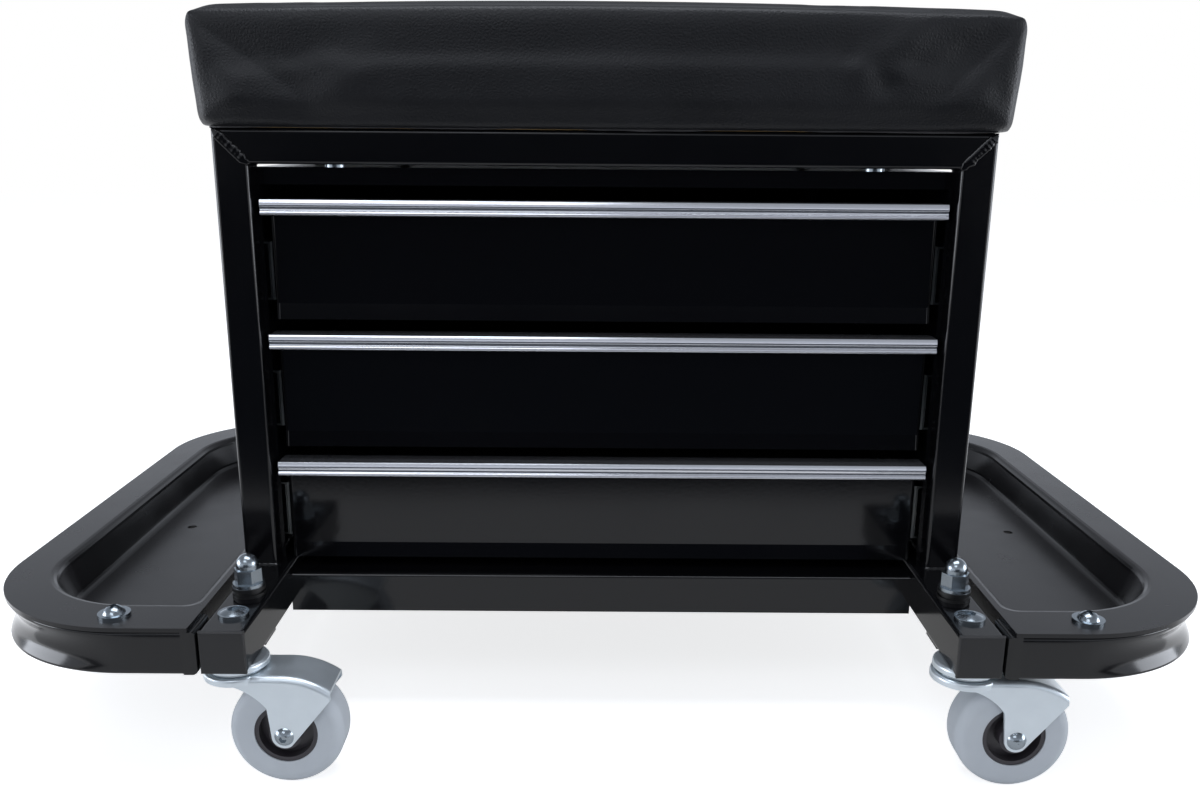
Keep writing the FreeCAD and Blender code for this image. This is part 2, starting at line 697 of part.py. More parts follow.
def nut_bush():
    """A black bush with a groove round its middle."""
    ring = rod(BUSH_DIAMETER / 2, rail_middle, -stud_y, rail_top, bush_top)
    third = BUSH_HEIGHT / 3
    groove = rod(BUSH_DIAMETER / 2 + OVERRUN, rail_middle, -stud_y, rail_top + third, rail_top + 2 * third)
    groove = groove.cut(rod(BUSH_DIAMETER / 2 - BUSH_GROOVE, rail_middle, -stud_y, rail_top, bush_top))
    bore = rod(STUD_DIAMETER / 2 + BOLT_FIT, rail_middle, -stud_y, rail_top - OVERRUN, bush_top + OVERRUN)
    return ring.cut(groove).cut(bore)


def acorn_nut():
    """A flanged hexagon nut with a closed dome."""
    flange_top = bush_top + NUT_FLANGE
    hex_top = flange_top + NUT_HEX_HEIGHT
    nut = rod(NUT_FLANGE_DIAMETER / 2, rail_middle, -stud_y, bush_top, flange_top)
    nut = nut.fuse(hexagon(NUT_FLATS, rail_middle, -stud_y, flange_top, hex_top))
    radius = NUT_DOME_DIAMETER / 2
    shoulder = NUT_DOME_HEIGHT - radius
    dome = rod(radius, rail_middle, -stud_y, hex_top, hex_top + shoulder)
    ball = Part.makeSphere(radius, V(rail_middle, -stud_y, hex_top + shoulder))
    nut = nut.fuse(dome).fuse(ball).removeSplitter()
    return nut.cut(rod(STUD_DIAMETER / 2 + BOLT_FIT, rail_middle, -stud_y, bush_top - OVERRUN,
                       bush_top + STUD_INTO_NUT + BOLT_FIT))


def domed_head(diameter, height, x, y, z):
    """A low round head: the cap of a ball that is as wide as the head at its base."""
    radius = diameter / 2
    ball = (radius ** 2 + height ** 2) / (2 * height)
    cap = Part.makeSphere(ball, V(x, y, z + height - ball))
    return cap.common(rod(radius, x, y, z, z + height))


def tray_screw():
    """A cross-recessed screw with a washer under its head."""
    washer_top = tray_top + TRAY_WASHER_HEIGHT
    x, y = tray_screw_x, -tray_screw_y
    screw = rod(TRAY_WASHER_DIAMETER / 2, x, y, tray_top, washer_top)
    screw = screw.fuse(rod(TRAY_SCREW_DIAMETER / 2, x, y, tray_top - TRAY_SCREW_LENGTH, tray_top))
    screw = screw.fuse(domed_head(TRAY_SCREW_HEAD_DIAMETER, TRAY_SCREW_HEAD_HEIGHT, x, y, washer_top))
    slot_bottom = washer_top + TRAY_SCREW_HEAD_HEIGHT - TRAY_SCREW_SLOT_DEPTH
    long, short = TRAY_SCREW_SLOT_LENGTH / 2, TRAY_SCREW_SLOT / 2
    for half_x, half_y in ((long, short), (short, long)):
        screw = screw.cut(block(x - half_x, x + half_x, y - half_y, y + half_y,
                                slot_bottom, slot_bottom + TRAY_SCREW_SLOT_DEPTH + OVERRUN))
    return screw.removeSplitter()


# Casters, built with the swivel axis on the origin and the wheel trailing towards +X

def tyre():
    inner, outer, half = HUB_DIAMETER / 2, WHEEL_DIAMETER / 2, WHEEL_WIDTH / 2
    lean = TYRE_SHOULDER * (1 - math.sqrt(0.5))

    def point(radius, side):
        return V(TRAIL, side, axle_height + radius)

    edges = [Part.makeLine(point(inner, -half), point(outer - TYRE_SHOULDER, -half)),
             Part.Arc(point(outer - TYRE_SHOULDER, -half), point(outer - lean, -half + lean),
                      point(outer, -half + TYRE_SHOULDER)).toShape(),
             Part.makeLine(point(outer, -half + TYRE_SHOULDER), point(outer, half - TYRE_SHOULDER)),
             Part.Arc(point(outer, half - TYRE_SHOULDER), point(outer - lean, half - lean),
                      point(outer - TYRE_SHOULDER, half)).toShape(),
             Part.makeLine(point(outer - TYRE_SHOULDER, half), point(inner, half)),
             Part.makeLine(point(inner, half), point(inner, -half))]
    return Part.Face(Part.Wire(edges)).revolve(V(TRAIL, 0, axle_height), Y_AXIS, 360)


def hub():
    """A moulded hub: a rim inside the tyre, a thinner web and a boss on the axle."""
    rim_half = WHEEL_WIDTH / 2 - HUB_RECESS
    boss_half = FORK_CHEEK_GAP / 2 - HUB_SIDE_PLAY
    body = cross_rod(HUB_DIAMETER / 2, TRAIL, axle_height, -rim_half, rim_half)
    for y0, y1 in ((-rim_half - OVERRUN, -HUB_WEB / 2), (HUB_WEB / 2, rim_half + OVERRUN)):
        body = body.cut(cross_rod(HUB_DIAMETER / 2 - HUB_RIM, TRAIL, axle_height, y0, y1))
    body = body.fuse(cross_rod(HUB_BOSS_DIAMETER / 2, TRAIL, axle_height, -boss_half, boss_half))
    bore = cross_rod(AXLE_DIAMETER / 2 + RUNNING_FIT, TRAIL, axle_height,
                     -boss_half - OVERRUN, boss_half + OVERRUN)
    return body.cut(bore).removeSplitter()


def fork_outline(inset):
    """The fork's side: a level crown that falls away at the tail, and a cheek down to the axle."""
    boss = FORK_BOSS_DIAMETER / 2
    tail = FORK_REACH - inset
    crown = crown_top - inset
    drop = crown_top - axle_height
    slope = math.atan2(drop - FORK_TAIL_DROP - FORK_TAIL_LIP - boss, FORK_REACH - TRAIL - boss)
    front_touch = (TRAIL - boss, axle_height)
    back_touch = (TRAIL + boss * math.sin(slope), axle_height - boss * math.cos(slope))
    neck = (FORK_NECK_REACH_SHARE * FORK_REACH, crown_top - FORK_NECK_DROP_SHARE * drop)
    throat = (neck[0] + FORK_THROAT / 2, crown_top - FORK_WAIST_DROP_SHARE * drop)
    start = (-FORK_RING_DIAMETER / 2, crown_top - FORK_RING_LIP)

    def point(place):
        return V(place[0], 0, place[1])

    tail_top = (tail, crown - FORK_TAIL_DROP)
    hump = (TRAIL + (tail - TRAIL) / 2, crown - FORK_TAIL_DROP / 4)
    tail_bottom = (tail, crown_top - FORK_TAIL_DROP - FORK_TAIL_LIP)
    return Part.Wire([
        Part.makeLine(point((start[0], crown)), point((TRAIL, crown))),
        Part.Arc(point((TRAIL, crown)), point(hump), point(tail_top)).toShape(),
        Part.makeLine(point(tail_top), point(tail_bottom)),
        Part.makeLine(point(tail_bottom), point(back_touch)),
        Part.Arc(point(back_touch), point((TRAIL, axle_height - boss)), point(front_touch)).toShape(),
        Part.makeLine(point(front_touch), point(throat)),
        Part.Arc(point(throat), point(neck), point(start)).toShape(),
        Part.makeLine(point(start), point((start[0], crown)))])


def fork_body(inset):
    half = FORK_CHEEK_GAP / 2 + FORK_SHEET - inset
    face = Part.Face(fork_outline(inset))
    face.translate(V(0, -half, 0))
    return face.extrude(V(0, 2 * half, 0))


def caster_fork():
    """A pressed fork: a ring round the swivel pin, a crown over the wheel and two cheeks."""
    shell = fork_body(0)
    half = FORK_CHEEK_GAP / 2 + FORK_SHEET
    crown_edges = [e for e in shell.Edges
                   if all(abs(abs(v.Y) - half) < SHEET and v.Z > crown_top - FORK_TAIL_DROP - SHEET
                          for v in e.Vertexes) and abs(e.Vertexes[0].X - e.Vertexes[-1].X) > FORK_BEND]
    shell = shell.makeFillet(FORK_BEND, crown_edges)
    ring_radius = FORK_RING_DIAMETER / 2
    shell = shell.cut(block(-ring_radius - OVERRUN, 0, -half - OVERRUN, half + OVERRUN,
                            0, crown_top + OVERRUN))
    ring = rod(ring_radius, 0, 0, crown_top - FORK_RING_LIP, crown_top)
    top_edge = [e for e in ring.Edges if all(abs(v.Z - crown_top) < SHEET for v in e.Vertexes)]
    ring = ring.makeFillet(FORK_SHEET, top_edge)
    ring = ring.cut(rod(ring_radius - FORK_SHEET, 0, 0, 0, crown_under))
    inside = fork_body(FORK_SHEET).common(block(0, FORK_REACH, -half, half, 0, crown_under))
    tunnel = block(0, ring_radius + OVERRUN, -half + FORK_SHEET, half - FORK_SHEET, 0, crown_under)
    below = block(TRAIL - FORK_REACH, FORK_REACH + OVERRUN, -half + FORK_SHEET, half - FORK_SHEET, 0,
                  crown_top - FORK_TAIL_DROP - FORK_TAIL_LIP)
    tail = block(FORK_REACH - FORK_SHEET - OVERRUN, FORK_REACH + OVERRUN,
                 -half + FORK_SHEET, half - FORK_SHEET, 0, crown_top - FORK_TAIL_DROP - FORK_SHEET)
    fork = shell.cut(inside).cut(below).cut(tail).fuse(ring.cut(tunnel))
    fork = fork.cut(block(0, ring_radius - FORK_SHEET, -half + FORK_SHEET, half - FORK_SHEET, 0, crown_under))
    fork = fork.cut(rod(KINGPIN_DIAMETER / 2 + RUNNING_FIT, 0, 0, 0, crown_top + OVERRUN))
    fork = fork.cut(cross_rod(AXLE_DIAMETER / 2 + RUNNING_FIT, TRAIL, axle_height,
                              -half - OVERRUN, half + OVERRUN))
    return fork.removeSplitter()


def caster_axle(socketed):
    """An axle bolt with a low round head in front and a nut behind."""
    face = FORK_CHEEK_GAP / 2 + FORK_SHEET
    nut_end = face + AXLE_NUT_HEIGHT
    head = domed_head(AXLE_HEAD_DIAMETER, AXLE_HEAD_HEIGHT, 0, 0, face)
    if socketed:
        top = face + AXLE_HEAD_HEIGHT
        head = head.cut(hexagon(AXLE_SOCKET, 0, 0, top - AXLE_SOCKET_DEPTH, top + OVERRUN))
    bolt = rod(AXLE_DIAMETER / 2, 0, 0, -nut_end, face).fuse(head)
    bolt = bolt.fuse(hexagon(AXLE_NUT_FLATS, 0, 0, -nut_end, -face)).removeSplitter()
    bolt.rotate(V(0, 0, 0), X_AXIS, 90)
    bolt.translate(V(TRAIL, 0, axle_height))
    return bolt


def caster_disc():
    """The fixed top disc: a shallow cup that is bolted up against the rail."""
    disc = rod(DISC_DIAMETER / 2, 0, 0, disc_bottom, rail_bottom)
    rim = [e for e in disc.Edges if all(abs(v.Z - rail_bottom) < SHEET for v in e.Vertexes)]
    disc = disc.makeFillet(DISC_LIP, rim)
    disc = disc.cut(rod(RACE_OUTER_DIAMETER / 2, 0, 0, disc_bottom - OVERRUN, rail_bottom - DISC_LIP))
    return disc.cut(rod(KINGPIN_DIAMETER / 2, 0, 0, disc_bottom - OVERRUN, rail_bottom + OVERRUN))


def caster_ball_race():
    ring = rod(RACE_OUTER_DIAMETER / 2, 0, 0, crown_top + SOFT_GAP, rail_bottom - DISC_LIP)
    return ring.cut(rod(RACE_INNER_DIAMETER / 2, 0, 0, crown_top, rail_bottom))


def caster_kingpin():
    """The hollow swivel pin, headed under the fork's crown and threaded for the bolt above."""
    head_top = crown_under - SOFT_GAP
    head_bottom = head_top - KINGPIN_HEAD_HEIGHT
    pin = rod(KINGPIN_DIAMETER / 2, 0, 0, head_bottom, rail_bottom)
    pin = pin.fuse(rod(KINGPIN_HEAD_DIAMETER / 2, 0, 0, head_bottom, head_top)).removeSplitter()
    return pin.cut(rod(CASTER_BOLT_DIAMETER / 2 + BOLT_FIT, 0, 0,
                       head_bottom - OVERRUN, rail_bottom + OVERRUN))


def caster_bolt():
    """A flanged button-head bolt down through the rail into the swivel pin."""
    flange_top = rail_top + CASTER_BOLT_FLANGE
    bolt = rod(CASTER_BOLT_DIAMETER / 2, 0, 0, crown_under, rail_top)
    bolt = bolt.fuse(rod(CASTER_BOLT_FLANGE_DIAMETER / 2, 0, 0, rail_top, flange_top))
    bolt = bolt.fuse(domed_head(CASTER_BOLT_HEAD_DIAMETER, CASTER_BOLT_HEAD_HEIGHT, 0, 0, flange_top))
    top = flange_top + CASTER_BOLT_HEAD_HEIGHT
    return bolt.cut(hexagon(CASTER_BOLT_SOCKET, 0, 0, top - CASTER_BOLT_SOCKET_DEPTH, top + OVERRUN))


def at_corner(shape, side, end):
    placed = shape.copy()
    placed.translate(V(side * rail_middle, end * caster_y, 0))
    return placed


# Seat

def seat_board():
    outline = centred_wire(frame_outer - BOARD_INSET, frame_front - BOARD_INSET, board_bottom, BOARD_CORNER)
    board = plate(outline, BOARD_THICKNESS)
    for x, y in seat_screw_places():
        board = board.cut(rod(SEAT_SCREW_DIAMETER / 2 + BOLT_FIT, x, y, board_bottom - OVERRUN,
                              board_bottom + SEAT_SCREW_BITE + BOLT_FIT))
    return board


def seat_cushion():
    """Foam in a vinyl cover: sides that draw in to the hem, a rolled top edge and a crown."""
    half_x, half_y = frame_outer + CUSHION_SIDE_OVERHANG, frame_front + CUSHION_FRONT_OVERHANG
    sections = []
    for height_share, draw_share in CUSHION_SIDE_SHARES:
        inset = draw_share * CUSHION_DRAW_IN
        sections.append(centred_wire(half_x - inset, half_y - inset,
                                     cushion_bottom + height_share * CUSHION_HEIGHT, CUSHION_CORNER))
    for height_share, size_share in CUSHION_CROWN_SHARES:
        inset = (1 - size_share) * half_y
        sections.append(centred_wire(half_x - inset, half_y - inset,
                                     cushion_bottom + height_share * CUSHION_HEIGHT, CUSHION_CORNER))
    cushion = Part.makeLoft(sections, True, True)
    pocket_inset = BOARD_INSET - SOFT_GAP
    outline = centred_wire(frame_outer - pocket_inset, frame_front - pocket_inset, board_bottom - OVERRUN,
                           BOARD_CORNER)
    pocket = plate(outline, BOARD_THICKNESS + OVERRUN + SOFT_GAP)
    return cushion.cut(pocket)


def seat_screw_places():
    along = frame_front - POST_SIDE / 2
    return [(x, y) for y in (-along, along) for x in (-seat_screw_x, seat_screw_x)]


def seat_screw(x, y):
    rail_under = frame_top - POST_SIDE
    screw = rod(SEAT_SCREW_DIAMETER / 2, x, y, rail_under, board_bottom + SEAT_SCREW_BITE)
    return screw.fuse(rod(SEAT_SCREW_HEAD_DIAMETER / 2, x, y, rail_under - SEAT_SCREW_HEAD_HEIGHT,
                          rail_under)).removeSplitter()


# Assembly

def save_frame():
    left, right = left_and_right(base_rail())
    save("left_base_rail", left)
    save("right_base_rail", right)
    save("rail_end_caps", four_corners(rail_end_cap()))
    front = left_and_right(front_post())
    save("front_posts", front)
    save("rear_posts", [mirrored(post, Y_AXIS) for post in front])
    save("front_top_rail", front_top_rail())
    save("rear_top_rail", mirrored(front_top_rail(), Y_AXIS))
    save("side_top_rails", left_and_right(side_top_rail()))


def save_cabinet():
    left, right = left_and_right(cabinet_side())
    save("cabinet_left_side", left)
    save("cabinet_right_side", right)
    save("cabinet_back", cabinet_back())
    save("cabinet_top", cabinet_top_panel())
    save("cabinet_base", cabinet_base())


def save_drawers():
    channels = []
    for index, name in enumerate(DRAWER_NAMES):
        save(name + "_drawer_pan", drawer_pan(index))
        save(name + "_drawer_pull", drawer_pull(index))
        save(name + "_drawer_slides", left_and_right(slide_inner_channel(index)))
        save(name + "_drawer_ball_cages", left_and_right(slide_ball_cage(index)))
        channels += left_and_right(slide_outer_channel(index))
    save("slide_outer_channels", channels)


def save_trays():
    for (left_name, right_name), shape in ((("left_tray_tube", "right_tray_tube"), tray_tube()),
                                           (("left_tray_pan", "right_tray_pan"), tray_pan())):
        left, right = left_and_right(shape)
        save(left_name, left)
        save(right_name, right)
    for name, shape in (("tray_tube_caps", tray_tube_cap()), ("tray_brackets", tray_bracket()),
                        ("tray_studs", tray_stud()), ("nut_bushes", nut_bush()),
                        ("acorn_nuts", acorn_nut()), ("tray_screws", tray_screw())):
        save(name, four_corners(shape))


def save_casters():
    corners = [(end_name + "_" + side_name, side, end)
               for end_name, end in (("front", -1), ("rear", 1))
               for side_name, side in (("left", -1), ("right", 1))]
    fork, wheel_hub, wheel_tyre = caster_fork(), hub(), tyre()
    axles = {-1: caster_axle(True), 1: caster_axle(False)}
    for name, side, end in corners:
        save(name + "_fork", at_corner(fork, side, end))
        save(name + "_axle", at_corner(axles[side], side, end))
        save(name + "_hub", at_corner(wheel_hub, side, end))
        save(name + "_tyre", at_corner(wheel_tyre, side, end))
    for name, shape in (("caster_top_discs", caster_disc()), ("caster_ball_races", caster_ball_race()),
                        ("caster_kingpins", caster_kingpin()), ("caster_bolts", caster_bolt())):
        save(name, [at_corner(shape, side, end) for _, side, end in corners])


def save_seat():
    save("seat_board", seat_board())
    save("seat_cushion", seat_cushion())
    save("seat_screws", [seat_screw(x, y) for x, y in seat_screw_places()])


os.makedirs("parts", exist_ok=True)
save_frame()
save_cabinet()
save_drawers()
save_trays()
save_casters()
save_seat()
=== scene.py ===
import math

import bmesh
import bpy
from mathutils import Matrix, Vector, noise


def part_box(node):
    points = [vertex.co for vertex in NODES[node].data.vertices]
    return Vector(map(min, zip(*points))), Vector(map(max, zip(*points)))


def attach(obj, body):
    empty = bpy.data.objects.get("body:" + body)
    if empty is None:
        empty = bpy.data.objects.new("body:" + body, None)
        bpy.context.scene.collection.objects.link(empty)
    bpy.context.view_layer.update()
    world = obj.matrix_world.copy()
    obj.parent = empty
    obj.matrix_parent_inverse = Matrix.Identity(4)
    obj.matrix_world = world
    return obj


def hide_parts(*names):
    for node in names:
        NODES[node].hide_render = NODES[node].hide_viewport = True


bl_info = {
    "name": "Rolling tool chest seat",
    "version": (1, 0, 0),
    "blender": (4, 5, 0),
    "location": "View3D > Sidebar > Tool seat",
    "description": "Dresses the packed tool chest seat with its finishes, cushion, tray tubes and welds",
    "category": "Object",
}

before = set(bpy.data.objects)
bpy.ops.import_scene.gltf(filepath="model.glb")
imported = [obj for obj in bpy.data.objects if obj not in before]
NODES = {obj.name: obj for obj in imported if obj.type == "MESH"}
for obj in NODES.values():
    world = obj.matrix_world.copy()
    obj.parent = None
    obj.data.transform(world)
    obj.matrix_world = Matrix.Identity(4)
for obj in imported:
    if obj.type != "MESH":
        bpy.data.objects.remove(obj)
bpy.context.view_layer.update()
MM = 0.001
CORNERS = [(end, side) for end in ("front", "rear") for side in ("left", "right")]
DRAWERS = ("top", "middle", "bottom")

# Camera of the photograph, in millimetres and degrees, for a frame of 1200 by 790
CAMERA_PLACE = (-4.36, -779.81, 360.02)
CAMERA_PITCH = 15.54
CAMERA_YAW = 0.24
CAMERA_ROLL = 0.46
CAMERA_FOCAL = 1116.34
CAMERA_CENTRE_Y = 446.1
FRAME_WIDTH, FRAME_HEIGHT = 1200, 790
SENSOR = 36.0

# Light of the room by the upward share of a direction
ROOM_LEVELS = ((0, 1.0), (0.16, 1.0), (0.3, 0.6), (0.5, 0.4), (1, 0.25))
# Black cards in front and below, in metres: where the floor's card starts, where it turns from half to full,
# their half widths, and where the card under the frame ends
FLAG_START, FLAG_TURN, FLAG_FULL = -0.14, -0.50, -0.62
FLAG_SHARE = 0.55
FLAG_REACH, FRONT_REACH, FRONT_TOP = 1.1, 2.6, 1.2
UNDER_REACH, UNDER_END = 0.19, 0.24
FLAG_LIFT = 0.002
STAGE_REACH = 6.0
# Softboxes: place and target, width and height in metres, and power in watts
SOFTBOXES = {
    "top_softbox": ((0, -0.2, 2.4), (0, 0, 0.2), 1.8, 1.2, 30),
    "front_softbox": ((-0.5, -1.7, 1.7), (0, 0, 0.35), 1.0, 0.6, 5),
    "left_softbox": ((-1.9, -0.35, 0.42), (0, -0.35, 0.3), 1.1, 0.75, 13),
    "right_softbox": ((1.9, -0.35, 0.42), (0, -0.35, 0.3), 1.1, 0.75, 13),
}

# Angles in degrees above which an edge stays crisp, and above which a CAD edge is rounded
CRISP_CAD, CRISP_TUBE, CRISP_PULL, CRISP_HEM, CRISP_PAD = 32, 40, 42, 50, 60
ROUNDED_FROM = 40
# Shares of a plated or moulded roughness between which it varies over the surface
PLATE_SPREAD = (0.7, 1.4)
MOULD_SPREAD = (0.85, 1.15)


# Settings that a user would change

class SeatSettings(bpy.types.PropertyGroup):
    """Sizes and colour of the padded seat"""
    draw: bpy.props.FloatProperty(name="Start smaller by",
                                  description="How much smaller the pad starts before it is blown up",
                                  default=0.0008, unit="LENGTH")
    drop: bpy.props.FloatProperty(name="Drop", description="How far the top starts below its highest place",
                                  default=0.005, unit="LENGTH")
    voxel: bpy.props.FloatProperty(name="Voxel", description="Size of the remeshed cells", default=0.004, unit="LENGTH")
    swell: bpy.props.FloatProperty(name="Swell limit", description="How far the filling may push the cover",
                                   default=0.0022, unit="LENGTH")
    pressure: bpy.props.FloatProperty(name="Pressure", description="Pressure of the filling", default=4.0)
    pleat: bpy.props.FloatProperty(name="Tuck depth", description="Depth of the tucks at the corners",
                                   default=0.0042, unit="LENGTH")
    bow: bpy.props.FloatProperty(name="Bow", description="How far the top edges rise between the corners",
                                 default=0.0042, unit="LENGTH")
    corner: bpy.props.FloatProperty(name="Corner", description="Rounding of the upright corners",
                                    default=0.009, unit="LENGTH")
    colour: bpy.props.StringProperty(name="Vinyl", description="Colour of the cover, as sRGB hex", default="#090a0d")


class FrameSettings(bpy.types.PropertyGroup):
    """Finish of the painted steel"""
    paint: bpy.props.StringProperty(name="Paint", description="Colour of the black paint, as sRGB hex",
                                    default="#08080a")
    peel: bpy.props.FloatProperty(name="Orange peel", description="Size of the ripple in the powder coat",
                                  default=0.0022, unit="LENGTH")
    edge: bpy.props.FloatProperty(name="Edge", description="Rounding of folded sheet edges", default=0.00055,
                                  unit="LENGTH")


class TraySettings(bpy.types.PropertyGroup):
    """Shape of the bent tray tubes"""
    collapse: bpy.props.FloatProperty(name="Collapse", description="How far the outer wall folds in at a bend",
                                      default=0.0052, unit="LENGTH")
    corner: bpy.props.FloatProperty(name="Corner", description="Corner radius of the tube", default=0.002,
                                    unit="LENGTH")
    bend: bpy.props.FloatProperty(name="Bend", description="Radius of a bend along the middle of the tube",
                                  default=0.08334, unit="LENGTH")


class WeldSettings(bpy.types.PropertyGroup):
    """Size of the weld beads"""
    radius: bpy.props.FloatProperty(name="Bead", description="Half width of a bead", default=0.0024, unit="LENGTH")
    ripple: bpy.props.FloatProperty(name="Ripple", description="Spacing of the bead's ripples", default=0.0022,
                                    unit="LENGTH")


# Material helpers

def linear(hexadecimal):
    """An sRGB hex colour as linear RGBA."""
    parts = [int(hexadecimal[i:i + 2], 16) / 255 for i in (1, 3, 5)]
    return [p / 12.92 if p <= 0.04045 else ((p + 0.055) / 1.055) ** 2.4 for p in parts] + [1.0]


def add(tree, kind, settings=None, feeds=None, **links):
    """A node with its settings, its inputs linked from sockets or set to values, and the socket that it feeds."""
    node = tree.nodes.new(kind)
    for name, value in (settings or {}).items():
        setattr(node, name, value)
    for name, value in links.items():
        numbered = name[0] == "i" and name[1:].isdigit()
        socket = node.inputs[int(name[1:]) if numbered else name.replace("_", " ")]
        if isinstance(value, bpy.types.NodeSocket):
            tree.links.new(value, socket)
        else:
            socket.default_value = value
    if feeds:
        tree.links.new(node.outputs[feeds[0]], feeds[1])
    return node


def material(name, colour, roughness, metallic=0.0, ior=1.5):
    """A named finish with its shader, its object coordinates and its node tree."""
    made = bpy.data.materials.new(name)
    made.use_nodes = True
    shader = made.node_tree.nodes["Principled BSDF"]
    shader.inputs["Base Color"].default_value = linear(colour)
    shader.inputs["Roughness"].default_value = roughness
    shader.inputs["Metallic"].default_value = metallic
    if not metallic:
        shader.inputs["IOR"].default_value = ior
    place = add(made.node_tree, "ShaderNodeTexCoord").outputs["Object"]
    return made, shader, place, made.node_tree


def per_metre(size):
    """The texture scale that repeats a pattern at a real size in metres."""
    return 1.0 / size


# Finishes

def powder_coat(settings):
    """Black polyester powder coat on tube: glossy, with the slight orange peel that baking leaves."""
    made, shader, place, tree = material("black powder coat", settings.paint, 0.14)
    peel = add(tree, "ShaderNodeTexNoise", Vector=place, Scale=per_metre(settings.peel), Detail=2.0)
    add(tree, "ShaderNodeBump", feeds=("Normal", shader.inputs["Normal"]), Strength=0.05, Distance=0.0002,
        Height=peel.outputs["Fac"])
    haze = add(tree, "ShaderNodeTexNoise", Vector=place, Scale=per_metre(0.04), Detail=3.0)
    add(tree, "ShaderNodeMapRange", feeds=("Result", shader.inputs["Roughness"]), Value=haze.outputs["Fac"],
        To_Min=0.10, To_Max=0.19)
    return made


def sheet_paint(settings):
    """Black baking enamel on pressed sheet: smoother than the tubes, on panels that are never quite flat."""
    made, shader, place, tree = material("black baked enamel", settings.paint, 0.10)
    wave = add(tree, "ShaderNodeTexNoise", Vector=place, Scale=per_metre(0.07), Detail=1.0)
    peel = add(tree, "ShaderNodeTexNoise", Vector=place, Scale=per_metre(0.0025), Detail=1.0)
    both = add(tree, "ShaderNodeMath", {"operation": "MULTIPLY_ADD"}, i0=wave.outputs["Fac"], i1=8.0,
               i2=peel.outputs["Fac"])
    add(tree, "ShaderNodeBump", feeds=("Normal", shader.inputs["Normal"]), Strength=0.06, Distance=0.0002,
        Height=both.outputs[0])
    add(tree, "ShaderNodeMapRange", feeds=("Result", shader.inputs["Roughness"]), Value=wave.outputs["Fac"],
        To_Min=0.07, To_Max=0.14)
    return made


def tray_paint(settings):
    """Black enamel on the trays: a little softer in gloss, from handling and fine dust."""
    made, shader, place, tree = material("black tray enamel", settings.paint, 0.24)
    dust = add(tree, "ShaderNodeTexNoise", Vector=place, Scale=per_metre(0.03), Detail=5.0)
    peel = add(tree, "ShaderNodeTexNoise", Vector=place, Scale=per_metre(0.002), Detail=2.0)
    add(tree, "ShaderNodeMapRange", feeds=("Result", shader.inputs["Roughness"]), Value=dust.outputs["Fac"],
        To_Min=0.18, To_Max=0.32)
    add(tree, "ShaderNodeMix", {"data_type": "RGBA"}, (2, shader.inputs["Base Color"]), i0=dust.outputs["Fac"],
        i6=linear(settings.paint), i7=linear("#131214"))
    add(tree, "ShaderNodeBump", feeds=("Normal", shader.inputs["Normal"]), Strength=0.05, Distance=0.0002,
        Height=peel.outputs["Fac"])
    return made


def pull_aluminium():
    """Satin anodised aluminium extrusion: fine die lines run along it, and its oxide layer scatters some light."""
    made, shader, place, tree = material("anodised aluminium extrusion", "#e6e8ee", 0.17, 0.92)
    along = add(tree, "ShaderNodeMapping", Vector=place, Scale=(per_metre(0.09), per_metre(0.0004), per_metre(0.0004)))
    lines = add(tree, "ShaderNodeTexNoise", Vector=along.outputs[0], Scale=1.0, Detail=3.0)
    add(tree, "ShaderNodeMapRange", feeds=("Result", shader.inputs["Roughness"]), Value=lines.outputs["Fac"],
        To_Min=0.12, To_Max=0.22)
    add(tree, "ShaderNodeMix", {"data_type": "RGBA"}, (2, shader.inputs["Base Color"]), i0=lines.outputs["Fac"],
        i6=linear("#d6d8e0"), i7=linear("#f4f5f9"))
    add(tree, "ShaderNodeBump", feeds=("Normal", shader.inputs["Normal"]), Strength=0.08, Distance=0.0001,
        Height=lines.outputs["Fac"])
    return made


def zinc_plate(name, colour, warm, roughness, metallic=1.0):
    """Clear-passivated zinc on steel: bluish white with soft clouds. A dull plating is less than fully metallic."""
    made, shader, place, tree = material(name, colour, roughness, metallic)
    cloud = add(tree, "ShaderNodeTexNoise", Vector=place, Scale=per_metre(0.012), Detail=4.0)
    grain = add(tree, "ShaderNodeTexNoise", Vector=place, Scale=per_metre(0.0008), Detail=2.0)
    add(tree, "ShaderNodeMix", {"data_type": "RGBA"}, (2, shader.inputs["Base Color"]), i0=cloud.outputs["Fac"],
        i6=linear(warm), i7=linear(colour))
    add(tree, "ShaderNodeMapRange", feeds=("Result", shader.inputs["Roughness"]), Value=cloud.outputs["Fac"],
        To_Min=roughness * PLATE_SPREAD[0], To_Max=roughness * PLATE_SPREAD[1])
    add(tree, "ShaderNodeBump", feeds=("Normal", shader.inputs["Normal"]), Strength=0.04, Distance=0.0001,
        Height=grain.outputs["Fac"])
    return made


def moulded(name, dark, light, roughness, grain_size):
    """Moulded plastic or rubber: a fine spark-eroded grain and slight flow marks."""
    made, shader, place, tree = material(name, dark, roughness)
    grain = add(tree, "ShaderNodeTexNoise", Vector=place, Scale=per_metre(grain_size), Detail=3.0)
    flow = add(tree, "ShaderNodeTexNoise", Vector=place, Scale=per_metre(0.02), Detail=2.0)
    add(tree, "ShaderNodeMix", {"data_type": "RGBA"}, (2, shader.inputs["Base Color"]), i0=flow.outputs["Fac"],
        i6=linear(dark), i7=linear(light))
    add(tree, "ShaderNodeMapRange", feeds=("Result", shader.inputs["Roughness"]), Value=grain.outputs["Fac"],
        To_Min=roughness * MOULD_SPREAD[0], To_Max=roughness * MOULD_SPREAD[1])
    add(tree, "ShaderNodeBump", feeds=("Normal", shader.inputs["Normal"]), Strength=0.12, Distance=0.0002,
        Height=grain.outputs["Fac"])
    return made


